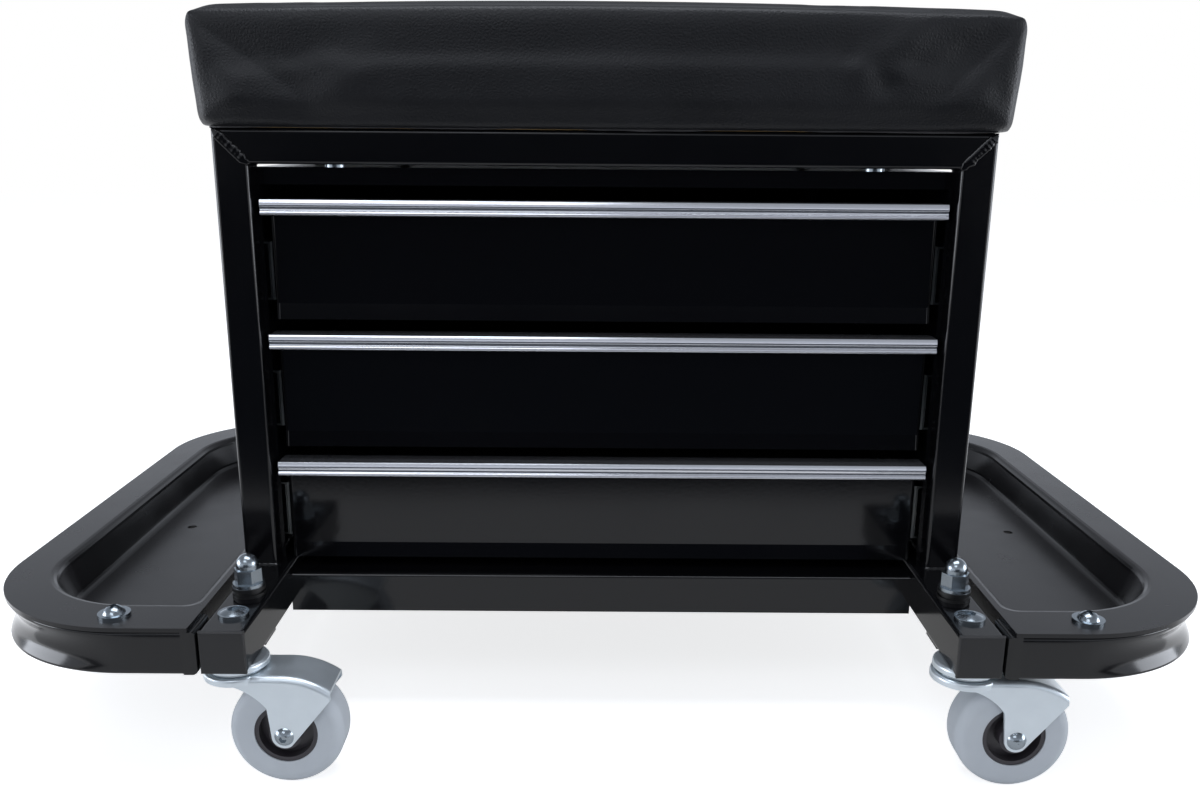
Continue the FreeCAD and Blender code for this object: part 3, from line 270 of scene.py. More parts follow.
def plywood():
    """Raw poplar plywood: long pale grain across the board."""
    made, shader, place, tree = material("poplar plywood", "#b8935e", 0.7)
    along = add(tree, "ShaderNodeMapping", Vector=place, Scale=(per_metre(0.15), per_metre(0.006), per_metre(0.002)))
    grain = add(tree, "ShaderNodeTexNoise", Vector=along.outputs[0], Scale=1.0, Detail=5.0)
    add(tree, "ShaderNodeMix", {"data_type": "RGBA"}, (2, shader.inputs["Base Color"]), i0=grain.outputs["Fac"],
        i6=linear("#8f6a3c"), i7=linear("#cfae78"))
    add(tree, "ShaderNodeBump", feeds=("Normal", shader.inputs["Normal"]), Strength=0.2, Distance=0.0003,
        Height=grain.outputs["Fac"])
    return made


def vinyl(settings):
    """Black upholstery vinyl: an embossed leather grain with a satin top coat. The grain is drawn
    at 2 mm, coarser than the real one, so that it shows in the render."""
    made, shader, place, tree = material("black upholstery vinyl", settings.colour, 0.46, ior=1.43)
    cells = add(tree, "ShaderNodeTexVoronoi", {"feature": "DISTANCE_TO_EDGE"}, Vector=place, Scale=per_metre(0.002))
    fine = add(tree, "ShaderNodeTexNoise", Vector=place, Scale=per_metre(0.0007), Detail=2.0)
    creases = add(tree, "ShaderNodeMath", {"operation": "MULTIPLY"}, i0=cells.outputs["Distance"], i1=3.0)
    height = add(tree, "ShaderNodeMath", {"operation": "MULTIPLY_ADD"}, i0=fine.outputs["Fac"], i1=0.4,
                 i2=creases.outputs[0])
    add(tree, "ShaderNodeBump", feeds=("Normal", shader.inputs["Normal"]), Strength=0.22, Distance=0.0004,
        Height=height.outputs[0])
    worn = add(tree, "ShaderNodeTexNoise", Vector=place, Scale=per_metre(0.05), Detail=3.0)
    add(tree, "ShaderNodeMapRange", feeds=("Result", shader.inputs["Roughness"]), Value=worn.outputs["Fac"],
        To_Min=0.38, To_Max=0.54)
    add(tree, "ShaderNodeMix", {"data_type": "RGBA"}, (2, shader.inputs["Base Color"]), i0=worn.outputs["Fac"],
        i6=linear(settings.colour), i7=linear("#0c0d12"))
    return made


# Mesh helpers

def new_object(name, mesh, body, finish):
    """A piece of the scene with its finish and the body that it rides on."""
    made = bpy.data.objects.new(name, mesh)
    bpy.context.scene.collection.objects.link(made)
    made.data.materials.append(finish)
    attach(made, body)
    return made


def dress(node, finish, edge=0.0):
    """Gives a CAD node its finish, smooth shading with crisp edges, and a small edge rounding."""
    piece = NODES[node]
    piece.data.materials.clear()
    piece.data.materials.append(finish)
    piece.data.shade_smooth()
    piece.data.set_sharp_from_angle(angle=math.radians(CRISP_CAD))
    if edge:
        bevel = piece.modifiers.new("edge", "BEVEL")
        bevel.width = edge
        bevel.segments = 2
        bevel.limit_method = "ANGLE"
        bevel.angle_limit = math.radians(ROUNDED_FROM)
        bevel.harden_normals = True


def finish_named(name):
    return bpy.data.materials[name]


def rounded_ring(half_x, half_y, radius, steps):
    """Points round a rectangle with rounded corners, anticlockwise."""
    points = []
    for turn, sx, sy in ((0, 1, 1), (90, -1, 1), (180, -1, -1), (270, 1, -1)):
        for i in range(steps + 1):
            a = math.radians(turn + 90 * i / steps)
            points.append((sx * (half_x - radius) + radius * math.cos(a),
                           sy * (half_y - radius) + radius * math.sin(a)))
    return points


def skin(*bodies):
    """A closed mesh through each body's rings of points, with a flat face at each end."""
    made = bmesh.new()
    for rings in bodies:
        rows = [[made.verts.new(point) for point in ring] for ring in rings]
        size = len(rows[0])
        for first, second in zip(rows, rows[1:]):
            for i in range(size):
                made.faces.new((first[i], first[(i + 1) % size], second[(i + 1) % size], second[i]))
        made.faces.new(rows[0])
        made.faces.new(rows[-1])
    bmesh.ops.recalc_face_normals(made, faces=made.faces)
    return made


def keep(made, name, sharp=None):
    """Turns a bmesh into a smooth mesh, with crisp edges above an angle if one is given."""
    mesh = bpy.data.meshes.new(name)
    made.to_mesh(mesh)
    made.free()
    mesh.shade_smooth()
    if sharp:
        mesh.set_sharp_from_angle(angle=math.radians(sharp))
    return mesh


# Operators

class TOOLSEAT_OT_finishes(bpy.types.Operator):
    """Make every finish"""
    bl_idname = "toolseat.finishes"
    bl_label = "Finishes"

    def execute(self, context):
        scene = context.scene
        powder_coat(scene.tool_frame)
        sheet_paint(scene.tool_frame)
        tray_paint(scene.tool_frame)
        pull_aluminium()
        zinc_plate("bright zinc plate", "#adb6bd", "#969fa6", 0.22)
        zinc_plate("pressed zinc plate", "#eaf2f7", "#dbe4ea", 0.34, 0.8)
        zinc_plate("slide zinc plate", "#b9bec3", "#a4a69f", 0.32)
        moulded("polyethylene cap", "#1b1b1c", "#262525", 0.5, 0.0009)
        moulded("nylon bush", "#0d0d0e", "#171717", 0.4, 0.0009)
        moulded("gloss nylon cap", "#0b0b0c", "#131313", 0.2, 0.0009)
        moulded("polypropylene hub", "#2f2c30", "#3d393d", 0.3, 0.0012)
        moulded("grey thermoplastic rubber", "#b0b5ba", "#c0c5c9", 0.62, 0.0012)
        plywood()
        vinyl(scene.tool_seat)
        # The cut edge is the cover's real edge; its grey, lighter than the vinyl, is a painted highlight along the hem
        moulded("vinyl cut edge with painted highlight", "#1c1b1d", "#3b393a", 0.6, 0.0012)
        return {"FINISHED"}


class TOOLSEAT_OT_frame(bpy.types.Operator):
    """Dress the tubes, caps and fasteners of the frame"""
    bl_idname = "toolseat.frame"
    bl_label = "Frame and fasteners"

    def execute(self, context):
        coat = finish_named("black powder coat")
        for node in ("left_base_rail", "right_base_rail", "front_posts", "rear_posts", "front_top_rail",
                     "rear_top_rail", "side_top_rails", "tray_brackets"):
            dress(node, coat)
        dress("rail_end_caps", finish_named("polyethylene cap"))
        dress("tray_tube_caps", finish_named("gloss nylon cap"))
        dress("nut_bushes", finish_named("nylon bush"), 0.0003)
        for node in ("tray_studs", "acorn_nuts", "tray_screws", "caster_bolts", "seat_screws", "caster_kingpins",
                     "caster_ball_races"):
            dress(node, finish_named("bright zinc plate"), 0.0003)
        dress("seat_board", finish_named("poplar plywood"), 0.0005)
        return {"FINISHED"}


# Section of a pull's front in millimetres, from its top edge down, as distance behind the foremost line and
# depth below the top: a broad upper rib that tilts up, a groove, a narrow lower rib and a turned-under foot
PULL_FRONT = ((1.15, 0.0), (0.8, 0.7), (0.47, 1.6), (0.21, 2.6), (0.05, 3.6), (0.12, 3.75), (0.95, 3.9), (1.0, 4.1),
              (1.0, 5.8), (0.9, 6.05), (0.55, 6.4), (0.3, 6.85), (0.12, 7.4), (0.05, 7.8), (0.2, 8.2), (0.8, 8.6),
              (1.8, 8.95), (3.2, 9.2))
# Thickness of the hook, and how far from the pull's foot its back is looked for
PULL_LIP, PULL_FOOT = 1.8, 0.5


def pull_mesh(drawer):
    """One drawer's pull: a ribbed extrusion with a hook that lies over the drawer front's top edge."""
    low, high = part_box(drawer + "_drawer_pull")
    solid = NODES[drawer + "_drawer_pull"]
    places = [solid.matrix_world @ v.co for v in solid.data.vertices]
    behind = max(place.y for place in places if place.z < low.z + PULL_FOOT * MM)
    under = high.z - PULL_LIP * MM
    section = [(low.y + back * MM, high.z - down * MM) for back, down in PULL_FRONT]
    section += [(behind, low.z), (behind, under), (high.y, under), (high.y, high.z)]
    rings = [[(x, y, z) for y, z in section] for x in (low.x, high.x)]
    return keep(skin(rings), drawer + "_drawer_ribbed_pull", CRISP_PULL)


class TOOLSEAT_OT_cabinet(bpy.types.Operator):
    """Dress the cabinet, the drawers, their pulls and their slides"""
    bl_idname = "toolseat.cabinet"
    bl_label = "Cabinet and drawers"

    def execute(self, context):
        edge = context.scene.tool_frame.edge
        enamel = finish_named("black baked enamel")
        for node in ("cabinet_left_side", "cabinet_right_side", "cabinet_back", "cabinet_top", "cabinet_base"):
            dress(node, enamel, edge)
        dress("slide_outer_channels", finish_named("slide zinc plate"), edge)
        for drawer in DRAWERS:
            dress(drawer + "_drawer_pan", enamel, edge)
            pull = new_object(drawer + "_drawer_ribbed_pull", pull_mesh(drawer), drawer + "_drawer",
                              finish_named("anodised aluminium extrusion"))
            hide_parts(drawer + "_drawer_pull")
            dress(drawer + "_drawer_slides", finish_named("slide zinc plate"), edge)
            dress(drawer + "_drawer_ball_cages", finish_named("slide zinc plate"))
        return {"FINISHED"}


class TOOLSEAT_OT_casters(bpy.types.Operator):
    """Dress the swivel casters"""
    bl_idname = "toolseat.casters"
    bl_label = "Casters"

    def execute(self, context):
        dress("caster_top_discs", finish_named("pressed zinc plate"))
        for end, side in CORNERS:
            name = end + "_" + side
            dress(name + "_fork", finish_named("pressed zinc plate"), 0.0004)
            dress(name + "_axle", finish_named("bright zinc plate"), 0.0003)
            dress(name + "_hub", finish_named("polypropylene hub"), 0.0006)
            dress(name + "_tyre", finish_named("grey thermoplastic rubber"))
        return {"FINISHED"}


# Steps along a tube's bend, round each of its section's corners and across each of its walls
BEND_STEPS, CORNER_STEPS, WALL_STEPS = 32, 4, 8


def tube_ring(half, corner, sag):
    """Points round a tube's section as (across, up): across grows towards the outside of the bend."""
    flat = half - corner

    def corner_point(number, share):
        """A point on one of the four rounded corners."""
        middle, a = math.radians(90 * number + 45), math.radians(90 * (number + share))
        return (math.copysign(flat, math.cos(middle)) + corner * math.cos(a),
                math.copysign(flat, math.sin(middle)) + corner * math.sin(a))

    points = []
    for number in range(4):
        points += [corner_point(number, i / CORNER_STEPS) for i in range(CORNER_STEPS + 1)]
        x0, y0 = points[-1]
        x1, y1 = corner_point(number + 1, 0)
        points += [(x0 + (x1 - x0) * i / WALL_STEPS, y0 + (y1 - y0) * i / WALL_STEPS) for i in range(1, WALL_STEPS)]
    folded = []
    for across, up in points:
        if across > half - corner * 0.5:
            share = max(0.0, 1 - (up / (half - corner * 0.3)) ** 2)
            across -= sag * share ** 1.3
        folded.append((across, up))
    return folded


def tray_tube_mesh(side, settings):
    """The bent tube of one tray, whose outer wall folds in along each bend."""
    low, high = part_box(side + "_tray_tube")
    sign = 1 if side == "right" else -1
    half = (high.z - low.z) / 2
    middle = (high.z + low.z) / 2
    inner_x = min(abs(low.x), abs(high.x))
    bend = settings.bend
    bend_x = max(abs(low.x), abs(high.x)) - half - bend
    outer_y = high.y - half
    path = [(inner_x + (bend_x - inner_x) * i / 3, -outer_y, 0.0, 0.0) for i in range(3)]
    for i in range(BEND_STEPS + 1):
        a = math.radians(90 * i / BEND_STEPS)
        share = math.sin(math.pi * i / BEND_STEPS) ** 0.8
        path.append((bend_x + bend * math.sin(a), -outer_y + bend - bend * math.cos(a), a, share))
    path += [(x, -y, math.pi - a, share) for x, y, a, share in reversed(path)]
    rings = [[(sign * (x + across * math.sin(a)), y - across * math.cos(a), middle + up)
              for across, up in tube_ring(half, settings.corner, settings.collapse * share)]
             for x, y, a, share in path]
    return keep(skin(rings), side + "_tray_bent_tube", CRISP_TUBE)


class TOOLSEAT_OT_trays(bpy.types.Operator):
    """Dress the tray pans and bend the tray tubes, with their outer walls folded in at the bends"""
    bl_idname = "toolseat.trays"
    bl_label = "Trays"

    def execute(self, context):
        for side in ("left", "right"):
            dress(side + "_tray_pan", finish_named("black tray enamel"))
            tube = new_object(side + "_tray_bent_tube", tray_tube_mesh(side, context.scene.tool_tray), "frame",
                              finish_named("black powder coat"))
            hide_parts(side + "_tray_tube")
        return {"FINISHED"}


# A bead's section: points round it, its width against the bead's radius, and how square it is
BEAD_POINTS, BEAD_WIDTH, BEAD_SQUARE = 10, 1.25, 0.6
# How far a mitre's bead runs along its seam
MITRE_SHARE = 0.94


def squared(value):
    """A sine or cosine drawn towards 1 or -1, which flattens the top of a section."""
    return math.copysign(abs(value) ** BEAD_SQUARE, value)


def bead_mesh(name, lines, settings, seed):
    """Low weld beads with ragged sides along straight lines, each given as start, end and the way out of the corner."""
    turns = [2 * math.pi * k / BEAD_POINTS for k in range(BEAD_POINTS)]
    beads = []
    for number, (start, end, out) in enumerate(lines):
        run = end - start
        side = run.cross(out).normalized()
        count = max(6, int(run.length / (settings.ripple / 6)))
        rings = []
        for i in range(count + 1):
            share = i / count
            along = share * run.length
            wobble = noise.noise(Vector((along * 400, seed + number * 7.3, 0.0)))
            rough = noise.noise(Vector((along * 520, seed - number * 3.7, 5.0)))
            ripple = abs(math.sin(math.pi * along / settings.ripple))
            bulge = 0.95 + 0.04 * ripple + 0.22 * wobble + 0.18 * rough
            taper = min(1.0, 6 * share + 0.25, 6 * (1 - share) + 0.25)
            half_width = settings.radius * bulge * taper * BEAD_WIDTH
            rise = settings.radius * taper * (0.36 + 0.03 * rough)
            centre = start + run * share + side * settings.radius * (0.2 * wobble + 0.2 * rough)
            rings.append([centre + side * half_width * squared(math.cos(a)) + out * rise * squared(math.sin(a))
                          for a in turns])
        beads.append(rings)
    return keep(skin(*beads), name)


class TOOLSEAT_OT_welds(bpy.types.Operator):
    """Lay the weld beads at the mitres and at the feet of the posts"""
    bl_idname = "toolseat.welds"
    bl_label = "Welds"

    def execute(self, context):
        settings = context.scene.tool_weld
        low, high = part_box("front_posts")
        side = high.y - low.y
        rail_low, rail_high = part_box("front_top_rail")
        rail_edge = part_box("right_base_rail")[1].x
        mitres, feet = [], []
        for end in (-1, 1):
            front = end * abs(low.y)
            back = front - end * side
            for sign in (-1, 1):
                inner_x = sign * (high.x - side)
                inner = Vector((inner_x, front, rail_low.z))
                outer = Vector((sign * high.x, front, rail_high.z))
                under = Vector((inner_x, back, rail_low.z))
                mitres.append((inner, inner.lerp(outer, MITRE_SHARE), Vector((0, end, 0))))
                mitres.append((under, inner, Vector((-sign, 0, -1)).normalized()))
                foot = Vector((inner_x, front, low.z))
                feet.append((foot, Vector((inner_x, back, low.z)), Vector((-sign, 0, 1)).normalized()))
                feet.append((foot, Vector((sign * rail_edge, front, low.z)), Vector((0, end, 1)).normalized()))
        coat = finish_named("black powder coat")
        new_object("mitre_welds", bead_mesh("mitre_welds", mitres, settings, 3.1), "frame", coat)
        new_object("post_foot_welds", bead_mesh("post_foot_welds", feet, settings, 8.7), "frame", coat)
        return {"FINISHED"}


# Sections of the foam from the hem up: share of the height, and how far they lie inside the widest one
FOAM_SECTIONS = ((0.0, 0.0078), (0.008, 0.0042), (0.022, 0.0026), (0.06, 0.0019), (0.3, 0.0014), (0.6, 0.0006),
                 (0.84, 0.0), (0.90, 0.0003), (0.925, 0.0014), (0.938, 0.0040), (0.945, 0.0080), (0.952, 0.016),
                 (0.966, 0.036), (0.982, 0.068), (1.0, 0.108))
# Height above the frame at which the cover ends, height of cover that the staples hold, and frames of the blow-up
HEM_CLEAR, HEM_HELD, COVER_FRAMES = 0.0002, 0.007, 20


def cushion_block(settings):
    """The foam block before the cover is blown up: crowned, with rolled edges and a drawn-in hem."""
    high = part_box("seat_cushion")[1]
    half_x, half_y = high.x - settings.draw, high.y - settings.draw
    bottom, top = hem_height(), high.z - settings.draw - settings.drop
    rings = []
    for share, inset in FOAM_SECTIONS:
        ring = rounded_ring(half_x - inset, half_y - inset, settings.corner, 6)
        rings.append([(x, y, bottom + share * (top - bottom)) for x, y in ring])
    return keep(skin(rings), "seat_pad")


def hem_height():
    """The cover's lower edge, just above the top of the frame."""
    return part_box("front_top_rail")[1].z + HEM_CLEAR


def blow_up(pad, settings):
    """Remeshes the pad and lets the filling press its cover out, by no more than the swell limit.
    The hem is held where it is stapled to the board, and the foam keeps the corners from drawing in."""
    remesh = pad.modifiers.new("cells", "REMESH")
    remesh.mode = "VOXEL"
    remesh.voxel_size = settings.voxel
    bpy.context.view_layer.objects.active = pad
    bpy.ops.object.modifier_apply(modifier="cells")
    before = [v.co.copy() for v in pad.data.vertices]
    outward = [v.normal.copy() for v in pad.data.vertices]
    bottom = min(v.z for v in before)
    held = pad.vertex_groups.new(name="hem")
    held.add([i for i, v in enumerate(before) if v.z < bottom + HEM_HELD], 1.0, "REPLACE")
    cloth = pad.modifiers.new("cover", "CLOTH")
    cloth.settings.vertex_group_mass = "hem"
    cloth.settings.use_pressure = True
    cloth.settings.uniform_pressure_force = settings.pressure
    cloth.settings.effector_weights.gravity = 0.0
    cloth.settings.tension_stiffness = 25
    cloth.settings.compression_stiffness = 25
    cloth.settings.bending_stiffness = 4
    cloth.point_cache.frame_start, cloth.point_cache.frame_end = 1, COVER_FRAMES
    for number in range(1, COVER_FRAMES + 1):
        bpy.context.scene.frame_set(number)
    shape = pad.evaluated_get(bpy.context.evaluated_depsgraph_get())
    after = [v.co.copy() for v in shape.data.vertices]
    pad.modifiers.remove(cloth)
    pad.vertex_groups.clear()
    bpy.context.scene.frame_set(1)
    for v, old, new, out in zip(pad.data.vertices, before, after, outward):
        v.co = old + out * min(settings.swell, max(0.0, (new - old).dot(out)))


def ease(value):
    """A smooth rise from 0 to 1."""
    value = min(1.0, max(0.0, value))
    return value * value * (3 - 2 * value)


def beside(across, height, line):
    """Where a point lies against a line of the cover: its share along the line, and how far it is below it."""
    (a0, z0), (a1, z1) = line
    run_a, run_z = a1 - a0, z1 - z0
    length = math.hypot(run_a, run_z)
    along = ((across - a0) * run_a + (height - z0) * run_z) / length ** 2
    away = ((across - a0) * run_z - (height - z0) * run_a) / length
    return along, away


def tuck(across, height, line, depth):
    """A corner tuck: a crease along its line, and below it a pocket of cover that stands proud and tilts up."""
    along, away = beside(across, height, line)
    fade = ease((along + 0.12) / 0.3) * ease((1.12 - along) / 0.35)
    below = max(0.0, away)
    pocket = (1 - math.exp(-below / 0.016)) * math.exp(-below / 0.045)
    crease = math.exp(-math.hypot(away, 0.0012) / 0.010)
    return depth * fade * (pocket - 0.32 * crease)


def swelling(across, height, line, width, rise):
    """A soft ridge along a line, which fades at both ends and to both sides."""
    along, away = beside(across, height, line)
    return rise * ease((along + 0.4) / 0.7) * ease((1.4 - along) / 0.7) * math.exp(-(away / width) ** 2)


# Folds of the cover at the corners, as distance in from the corner and height above the hem, in metres.
# Each corner has one tuck and some soft ridges (line, width, rise), and all four differ.
CORNER_FOLDS = {
    (-1, -1): (((0.002, 0.060), (0.069, 0.014)), (((0.078, 0.016), (0.104, 0.038), 0.011, 0.0014),
                                                 ((0.014, 0.020), (0.030, 0.010), 0.010, 0.0010))),
    (1, -1): (((0.003, 0.060), (0.053, 0.015)), (((0.060, 0.052), (0.094, 0.031), 0.009, 0.0022),
                                               ((0.076, 0.022), (0.088, 0.036), 0.007, -0.0016),
                                               ((0.018, 0.058), (0.042, 0.040), 0.007, -0.0014))),
    (-1, 1): (((0.002, 0.058), (0.060, 0.014)), (((0.070, 0.044), (0.095, 0.026), 0.010, 0.0016),)),
    (1, 1): (((0.002, 0.061), (0.064, 0.013)), (((0.066, 0.018), (0.092, 0.036), 0.010, 0.0015),)),
}
# How far the left side leans in at the hem, in metres, as the photograph shows
COVER_LEAN = 0.0012


def fold_cover(pad, settings):
    """Bows the top edges, tucks the cover at each corner and lets it drift a little in between."""
    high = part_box("seat_cushion")[1]
    bottom = hem_height()
    tall = high.z - bottom
    moves = []
    for v in pad.data.vertices:
        x, y, z = v.co
        height = z - bottom
        rise = ease((height / tall - 0.5) / 0.45)
        lift = rise * (settings.bow * (1 - (x / high.x) ** 2) - 0.2 * settings.bow)
        facing = abs(v.normal.y) ** 2
        sx, sy = (1 if x > 0 else -1), (1 if y > 0 else -1)
        line, ridges = CORNER_FOLDS[(sx, sy)]
        across = high.x - abs(x)
        push = tuck(across, height, line, settings.pleat)
        push += sum(swelling(across, height, ridge, width, up) for *ridge, width, up in ridges)
        drift = 0.0006 * noise.noise(Vector((x * 22, y * 22, z * 30)))
        side = abs(v.normal.x) ** 2
        flank = 0.0008 * noise.noise(Vector((y * 40, sx * 5.0, z * 34)))
        lean = COVER_LEAN * (1 - height / tall) * max(0.0, -x / high.x)
        moves.append(Vector((sx * side * (flank + drift) + lean, sy * facing * (push + drift), lift)))
    for v, move in zip(pad.data.vertices, moves):
        v.co += move


def seat_pocket(pad):
    """Cuts the pocket that the board fills out of the pad's underside."""
    low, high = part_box("seat_board")
    room, corner, past = 0.0005, 0.014, 0.004
    ring = rounded_ring(high.x + room, high.y + room, corner, 6)
    rings = [[(x, y, z) for x, y in ring] for z in (low.z - past, high.z + room)]
    board = bpy.data.objects.new("pocket", keep(skin(rings), "pocket"))
    bpy.context.scene.collection.objects.link(board)
    cut = pad.modifiers.new("pocket", "BOOLEAN")
    cut.operation = "DIFFERENCE"
    cut.solver = "EXACT"
    cut.object = board
    bpy.context.view_layer.objects.active = pad
    bpy.ops.object.modifier_apply(modifier="pocket")
    bpy.data.objects.remove(board)


def hem_strip(settings):
    """The cut edge of the cover: a thin wavy strip that shows under the front of the pad. Its lighter grey than the
    vinyl is a painted highlight along the hem.
    """
    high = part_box("seat_cushion")[1]
    inset, tall, thick, step, lift = 0.0086, 0.0012, 0.0009, 0.004, 0.0004
    ring = rounded_ring(high.x - inset, high.y - inset, settings.corner, 8)
    path = []
    for (x0, y0), (x1, y1) in zip(ring, ring[1:] + ring[:1]):
        count = max(1, int(math.hypot(x1 - x0, y1 - y0) / step))
        path += [(x0 + (x1 - x0) * i / count, y0 + (y1 - y0) * i / count) for i in range(count)]
    made = bmesh.new()
    sections = []
    for x, y in path:
        sag = 0.0011 * noise.noise(Vector((x * 17, y * 17, 0.3))) + 0.0005 * noise.noise(Vector((x * 60, y * 60, 4.0)))
        out = 0.0006 * noise.noise(Vector((x * 31, y * 31, 9.0)))
        at_side = abs(x) / high.x > abs(y) / high.y
        grow = Vector((math.copysign(1, x), 0, 0)) if at_side else Vector((0, math.copysign(1, y), 0))
        centre = Vector((x, y, hem_height() + lift + sag)) + grow * out
        sections.append([made.verts.new(centre + grow * (a * thick / 2) + Vector((0, 0, b * tall / 2)))
                         for a, b in ((-1, -1), (1, -0.9), (1.15, 0), (1, 0.9), (-1, 1))])
    for first, second in zip(sections, sections[1:] + sections[:1]):
        for k in range(5):
            made.faces.new((first[k], first[(k + 1) % 5], second[(k + 1) % 5], second[k]))
    bmesh.ops.recalc_face_normals(made, faces=made.faces)
    return keep(made, "cover_hem", CRISP_HEM)


class TOOLSEAT_OT_cushion(bpy.types.Operator):
    """Make the padded seat: a foam block in a vinyl cover, gathered at the corners"""
    bl_idname = "toolseat.cushion"
    bl_label = "Cushion"

    def execute(self, context):
        settings = context.scene.tool_seat
        pad = new_object("seat_pad", cushion_block(settings), "frame", finish_named("black upholstery vinyl"))
        blow_up(pad, settings)
        smooth = pad.modifiers.new("skin", "SUBSURF")
        smooth.levels = smooth.render_levels = 1
        bpy.context.view_layer.objects.active = pad
        bpy.ops.object.modifier_apply(modifier="skin")
        fold_cover(pad, settings)
        seat_pocket(pad)
        pad.data.shade_smooth()
        pad.data.set_sharp_from_angle(angle=math.radians(CRISP_PAD))
        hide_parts("seat_cushion")
        # The hem strip's lighter grey finish is a painted highlight
        new_object("cover_hem", hem_strip(settings), "frame", finish_named("vinyl cut edge with painted highlight"))
        return {"FINISHED"}


def pale(name, base, glow):
    """A pale stage surface that camera, mirror and glass rays see as white, and that keeps shadows."""
    made = bpy.data.materials.new(name)
    made.use_nodes = True
    tree = made.node_tree
    tree.nodes.clear()
    path = add(tree, "ShaderNodeLightPath")
    seen = add(tree, "ShaderNodeMath", {"operation": "ADD"}, i0=path.outputs["Is Camera Ray"],
               i1=path.outputs["Is Glossy Ray"])
    seen = add(tree, "ShaderNodeMath", {"operation": "ADD", "use_clamp": True}, i0=seen.outputs[0],
               i1=path.outputs["Is Transmission Ray"])
    strength = add(tree, "ShaderNodeMath", {"operation": "MULTIPLY"}, i0=seen.outputs[0], i1=glow)
    matt = add(tree, "ShaderNodeBsdfDiffuse", Color=linear(base))
    light = add(tree, "ShaderNodeEmission", Color=(1, 1, 1, 1), Strength=strength.outputs[0])
    both = add(tree, "ShaderNodeAddShader", i0=matt.outputs[0], i1=light.outputs[0])
    add(tree, "ShaderNodeOutputMaterial", Surface=both.outputs[0])
    return made


def stage_plate(name, corners, finish):
    """A flat plate of the stage."""
    mesh = bpy.data.meshes.new(name)
    mesh.from_pydata([Vector(c) for c in corners], [], [tuple(range(len(corners)))])
    made = bpy.data.objects.new(name, mesh)
    bpy.context.scene.collection.objects.link(made)
    mesh.materials.append(finish)
    return made


def lamp(name, place, target, width, height, power, colour="#f1f6ff"):
    """A softbox that faces its target, a little cool in colour."""
    data = bpy.data.lights.new(name, "AREA")
    data.shape = "RECTANGLE"
    data.size, data.size_y = width, height
    data.energy = power
    data.color = linear(colour)[:3]
    made = bpy.data.objects.new(name, data)
    bpy.context.scene.collection.objects.link(made)
    made.location = place
    made.rotation_mode = "QUATERNION"
    made.rotation_quaternion = (Vector(target) - Vector(place)).to_track_quat("-Z", "Y")
    return made


def studio_world():
    """A pale room: white round the horizon, dimmer towards the ceiling, and a little cool in what it lights."""
    world = bpy.data.worlds.new("studio")
    bpy.context.scene.world = world
    world.use_nodes = True
    tree = world.node_tree
    tree.nodes.clear()
    way = add(tree, "ShaderNodeSeparateXYZ", Vector=add(tree, "ShaderNodeTexCoord").outputs["Generated"])
    up = add(tree, "ShaderNodeValToRGB", i0=way.outputs["Z"])
    ramp = up.color_ramp
    for place, level in ROOM_LEVELS:
        step = ramp.elements[0] if place == 0 else ramp.elements[-1] if place == 1 else ramp.elements.new(place)
        step.color = (level, level, level, 1)
    seen = add(tree, "ShaderNodeLightPath").outputs["Is Camera Ray"]
    tone = add(tree, "ShaderNodeMix", {"data_type": "RGBA"}, i0=seen, i6=linear("#eef4ff"), i7=(1, 1, 1, 1))
    cool = add(tree, "ShaderNodeMix", {"data_type": "RGBA", "blend_type": "MULTIPLY"}, i0=1.0, i6=up.outputs["Color"],
               i7=tone.outputs[2])
    light = add(tree, "ShaderNodeBackground", Color=cool.outputs[2], Strength=1.0)
    add(tree, "ShaderNodeOutputWorld", Surface=light.outputs[0])


def flag(name, corners):
    """A black card, as used round glossy black goods: it shows in reflections alone, thin near the object and
    full beyond."""
    made = bpy.data.materials.new(name + " cloth")
    made.use_nodes = True
    tree = made.node_tree
    tree.nodes.clear()
    place = add(tree, "ShaderNodeSeparateXYZ", Vector=add(tree, "ShaderNodeTexCoord").outputs["Object"])
    cover = add(tree, "ShaderNodeMapRange", {"interpolation_type": "SMOOTHSTEP"}, Value=place.outputs["Y"],
                From_Min=FLAG_TURN, From_Max=FLAG_FULL, To_Min=FLAG_SHARE)
    clear = add(tree, "ShaderNodeBsdfTransparent")
    cloth = add(tree, "ShaderNodeBsdfDiffuse", Color=linear("#262c33"))
    both = add(tree, "ShaderNodeMixShader", i0=cover.outputs["Result"], i1=clear.outputs[0], i2=cloth.outputs[0])
    add(tree, "ShaderNodeOutputMaterial", Surface=both.outputs[0])
    card = stage_plate(name, corners, made)
    card.visible_camera = card.visible_diffuse = card.visible_shadow = card.visible_transmission = False


def photo_camera():
    """The camera that was fitted to the photograph."""
    pitch, yaw, roll = (math.radians(a) for a in (CAMERA_PITCH, CAMERA_YAW, CAMERA_ROLL))
    ahead = Vector((math.sin(yaw) * math.cos(pitch), math.cos(yaw) * math.cos(pitch), -math.sin(pitch)))
    level = Vector((math.cos(yaw), -math.sin(yaw), 0))
    up = level.cross(ahead)
    right = math.cos(roll) * level + math.sin(roll) * up
    top = -math.sin(roll) * level + math.cos(roll) * up
    data = bpy.data.cameras.new("photo_camera")
    data.sensor_fit = "HORIZONTAL"
    data.sensor_width = SENSOR
    data.lens = SENSOR * CAMERA_FOCAL / FRAME_WIDTH
    data.shift_y = (CAMERA_CENTRE_Y - FRAME_HEIGHT / 2) / FRAME_WIDTH
    data.clip_start, data.clip_end = 0.01, 50
    made = bpy.data.objects.new("photo_camera", data)
    bpy.context.scene.collection.objects.link(made)
    turn = Matrix((right, top, -ahead)).transposed().to_4x4()
    made.matrix_world = Matrix.Translation(Vector(CAMERA_PLACE) * MM) @ turn
    bpy.context.scene.camera = made


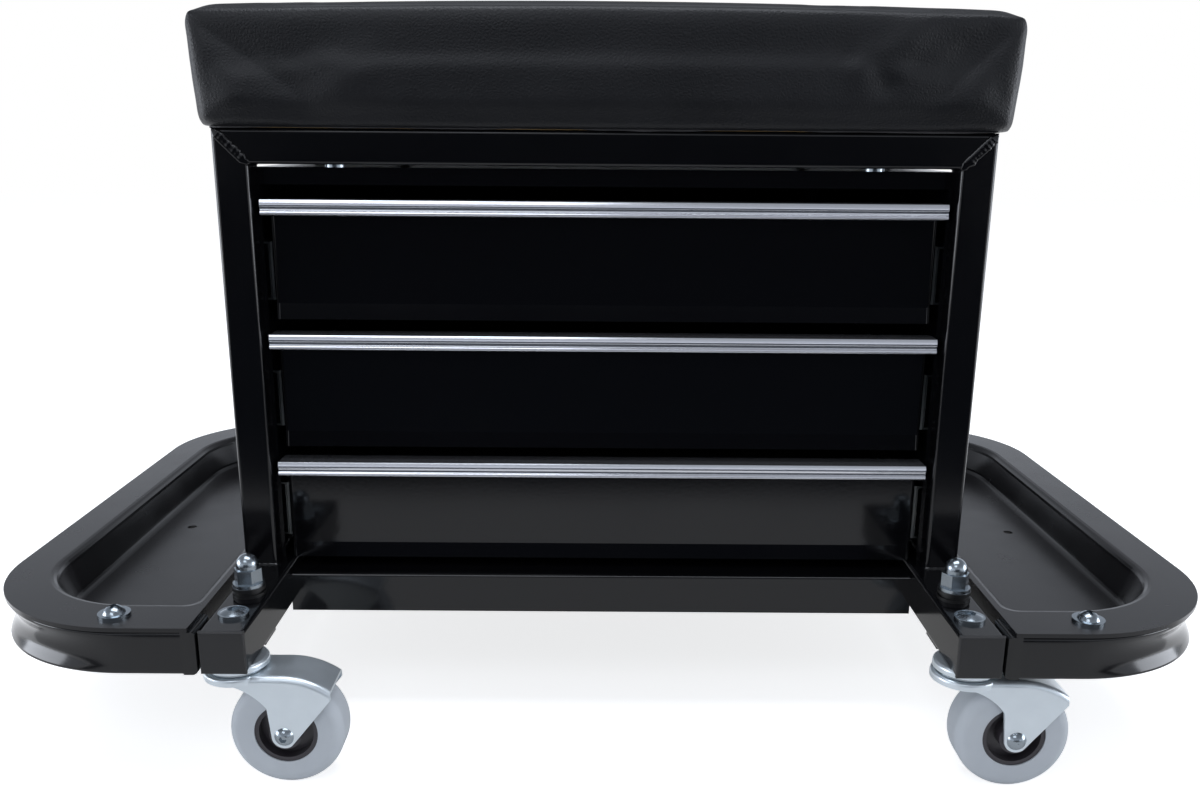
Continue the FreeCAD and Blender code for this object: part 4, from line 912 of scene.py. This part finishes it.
class TOOLSEAT_OT_stage(bpy.types.Operator):
    """Set the floor, the studio light and the photograph's camera"""
    bl_idname = "toolseat.stage"
    bl_label = "Stage"

    def execute(self, context):
        context.scene.view_settings.view_transform = "Standard"
        studio_world()
        far, near, lift = STAGE_REACH, FLAG_START, FLAG_LIFT
        stage_plate("floor", [(-far, -far, 0), (far, -far, 0), (far, far, 0), (-far, far, 0)],
                    pale("pale floor", "#e8e8e8", 0.72))
        flag("floor_flag", [(-FRONT_REACH, -far, lift), (FRONT_REACH, -far, lift), (FLAG_REACH, near, lift),
                            (-FLAG_REACH, near, lift)])
        flag("front_flag", [(-FRONT_REACH, -far, 0), (FRONT_REACH, -far, 0), (FRONT_REACH, -far, FRONT_TOP),
                            (-FRONT_REACH, -far, FRONT_TOP)])
        flag("under_flag", [(-UNDER_REACH, near, lift), (UNDER_REACH, near, lift), (UNDER_REACH, UNDER_END, lift),
                            (-UNDER_REACH, UNDER_END, lift)])
        for name, softbox in SOFTBOXES.items():
            lamp(name, *softbox)
        photo_camera()
        return {"FINISHED"}


class TOOLSEAT_PT_panel(bpy.types.Panel):
    """Lists the steps that dress the seat"""
    bl_idname = "TOOLSEAT_PT_panel"
    bl_label = "Tool seat"
    bl_space_type = "VIEW_3D"
    bl_region_type = "UI"
    bl_category = "Tool seat"

    def draw(self, context):
        for step in STEPS:
            self.layout.operator(step.bl_idname)


GROUPS = (("tool_seat", SeatSettings), ("tool_frame", FrameSettings), ("tool_tray", TraySettings),
          ("tool_weld", WeldSettings))
STEPS = (TOOLSEAT_OT_finishes, TOOLSEAT_OT_frame, TOOLSEAT_OT_cabinet, TOOLSEAT_OT_casters, TOOLSEAT_OT_trays,
         TOOLSEAT_OT_welds, TOOLSEAT_OT_cushion, TOOLSEAT_OT_stage)


def register():
    for name, group in GROUPS:
        bpy.utils.register_class(group)
        setattr(bpy.types.Scene, name, bpy.props.PointerProperty(type=group))
    for step in STEPS + (TOOLSEAT_PT_panel,):
        bpy.utils.register_class(step)


def unregister():
    for step in reversed(STEPS + (TOOLSEAT_PT_panel,)):
        bpy.utils.unregister_class(step)
    for name, group in reversed(GROUPS):
        delattr(bpy.types.Scene, name)
        bpy.utils.unregister_class(group)


def main():
    register()
    for step in STEPS:
        group, name = step.bl_idname.split(".")
        getattr(getattr(bpy.ops, group), name)()


if __name__ == "__main__":
    main()
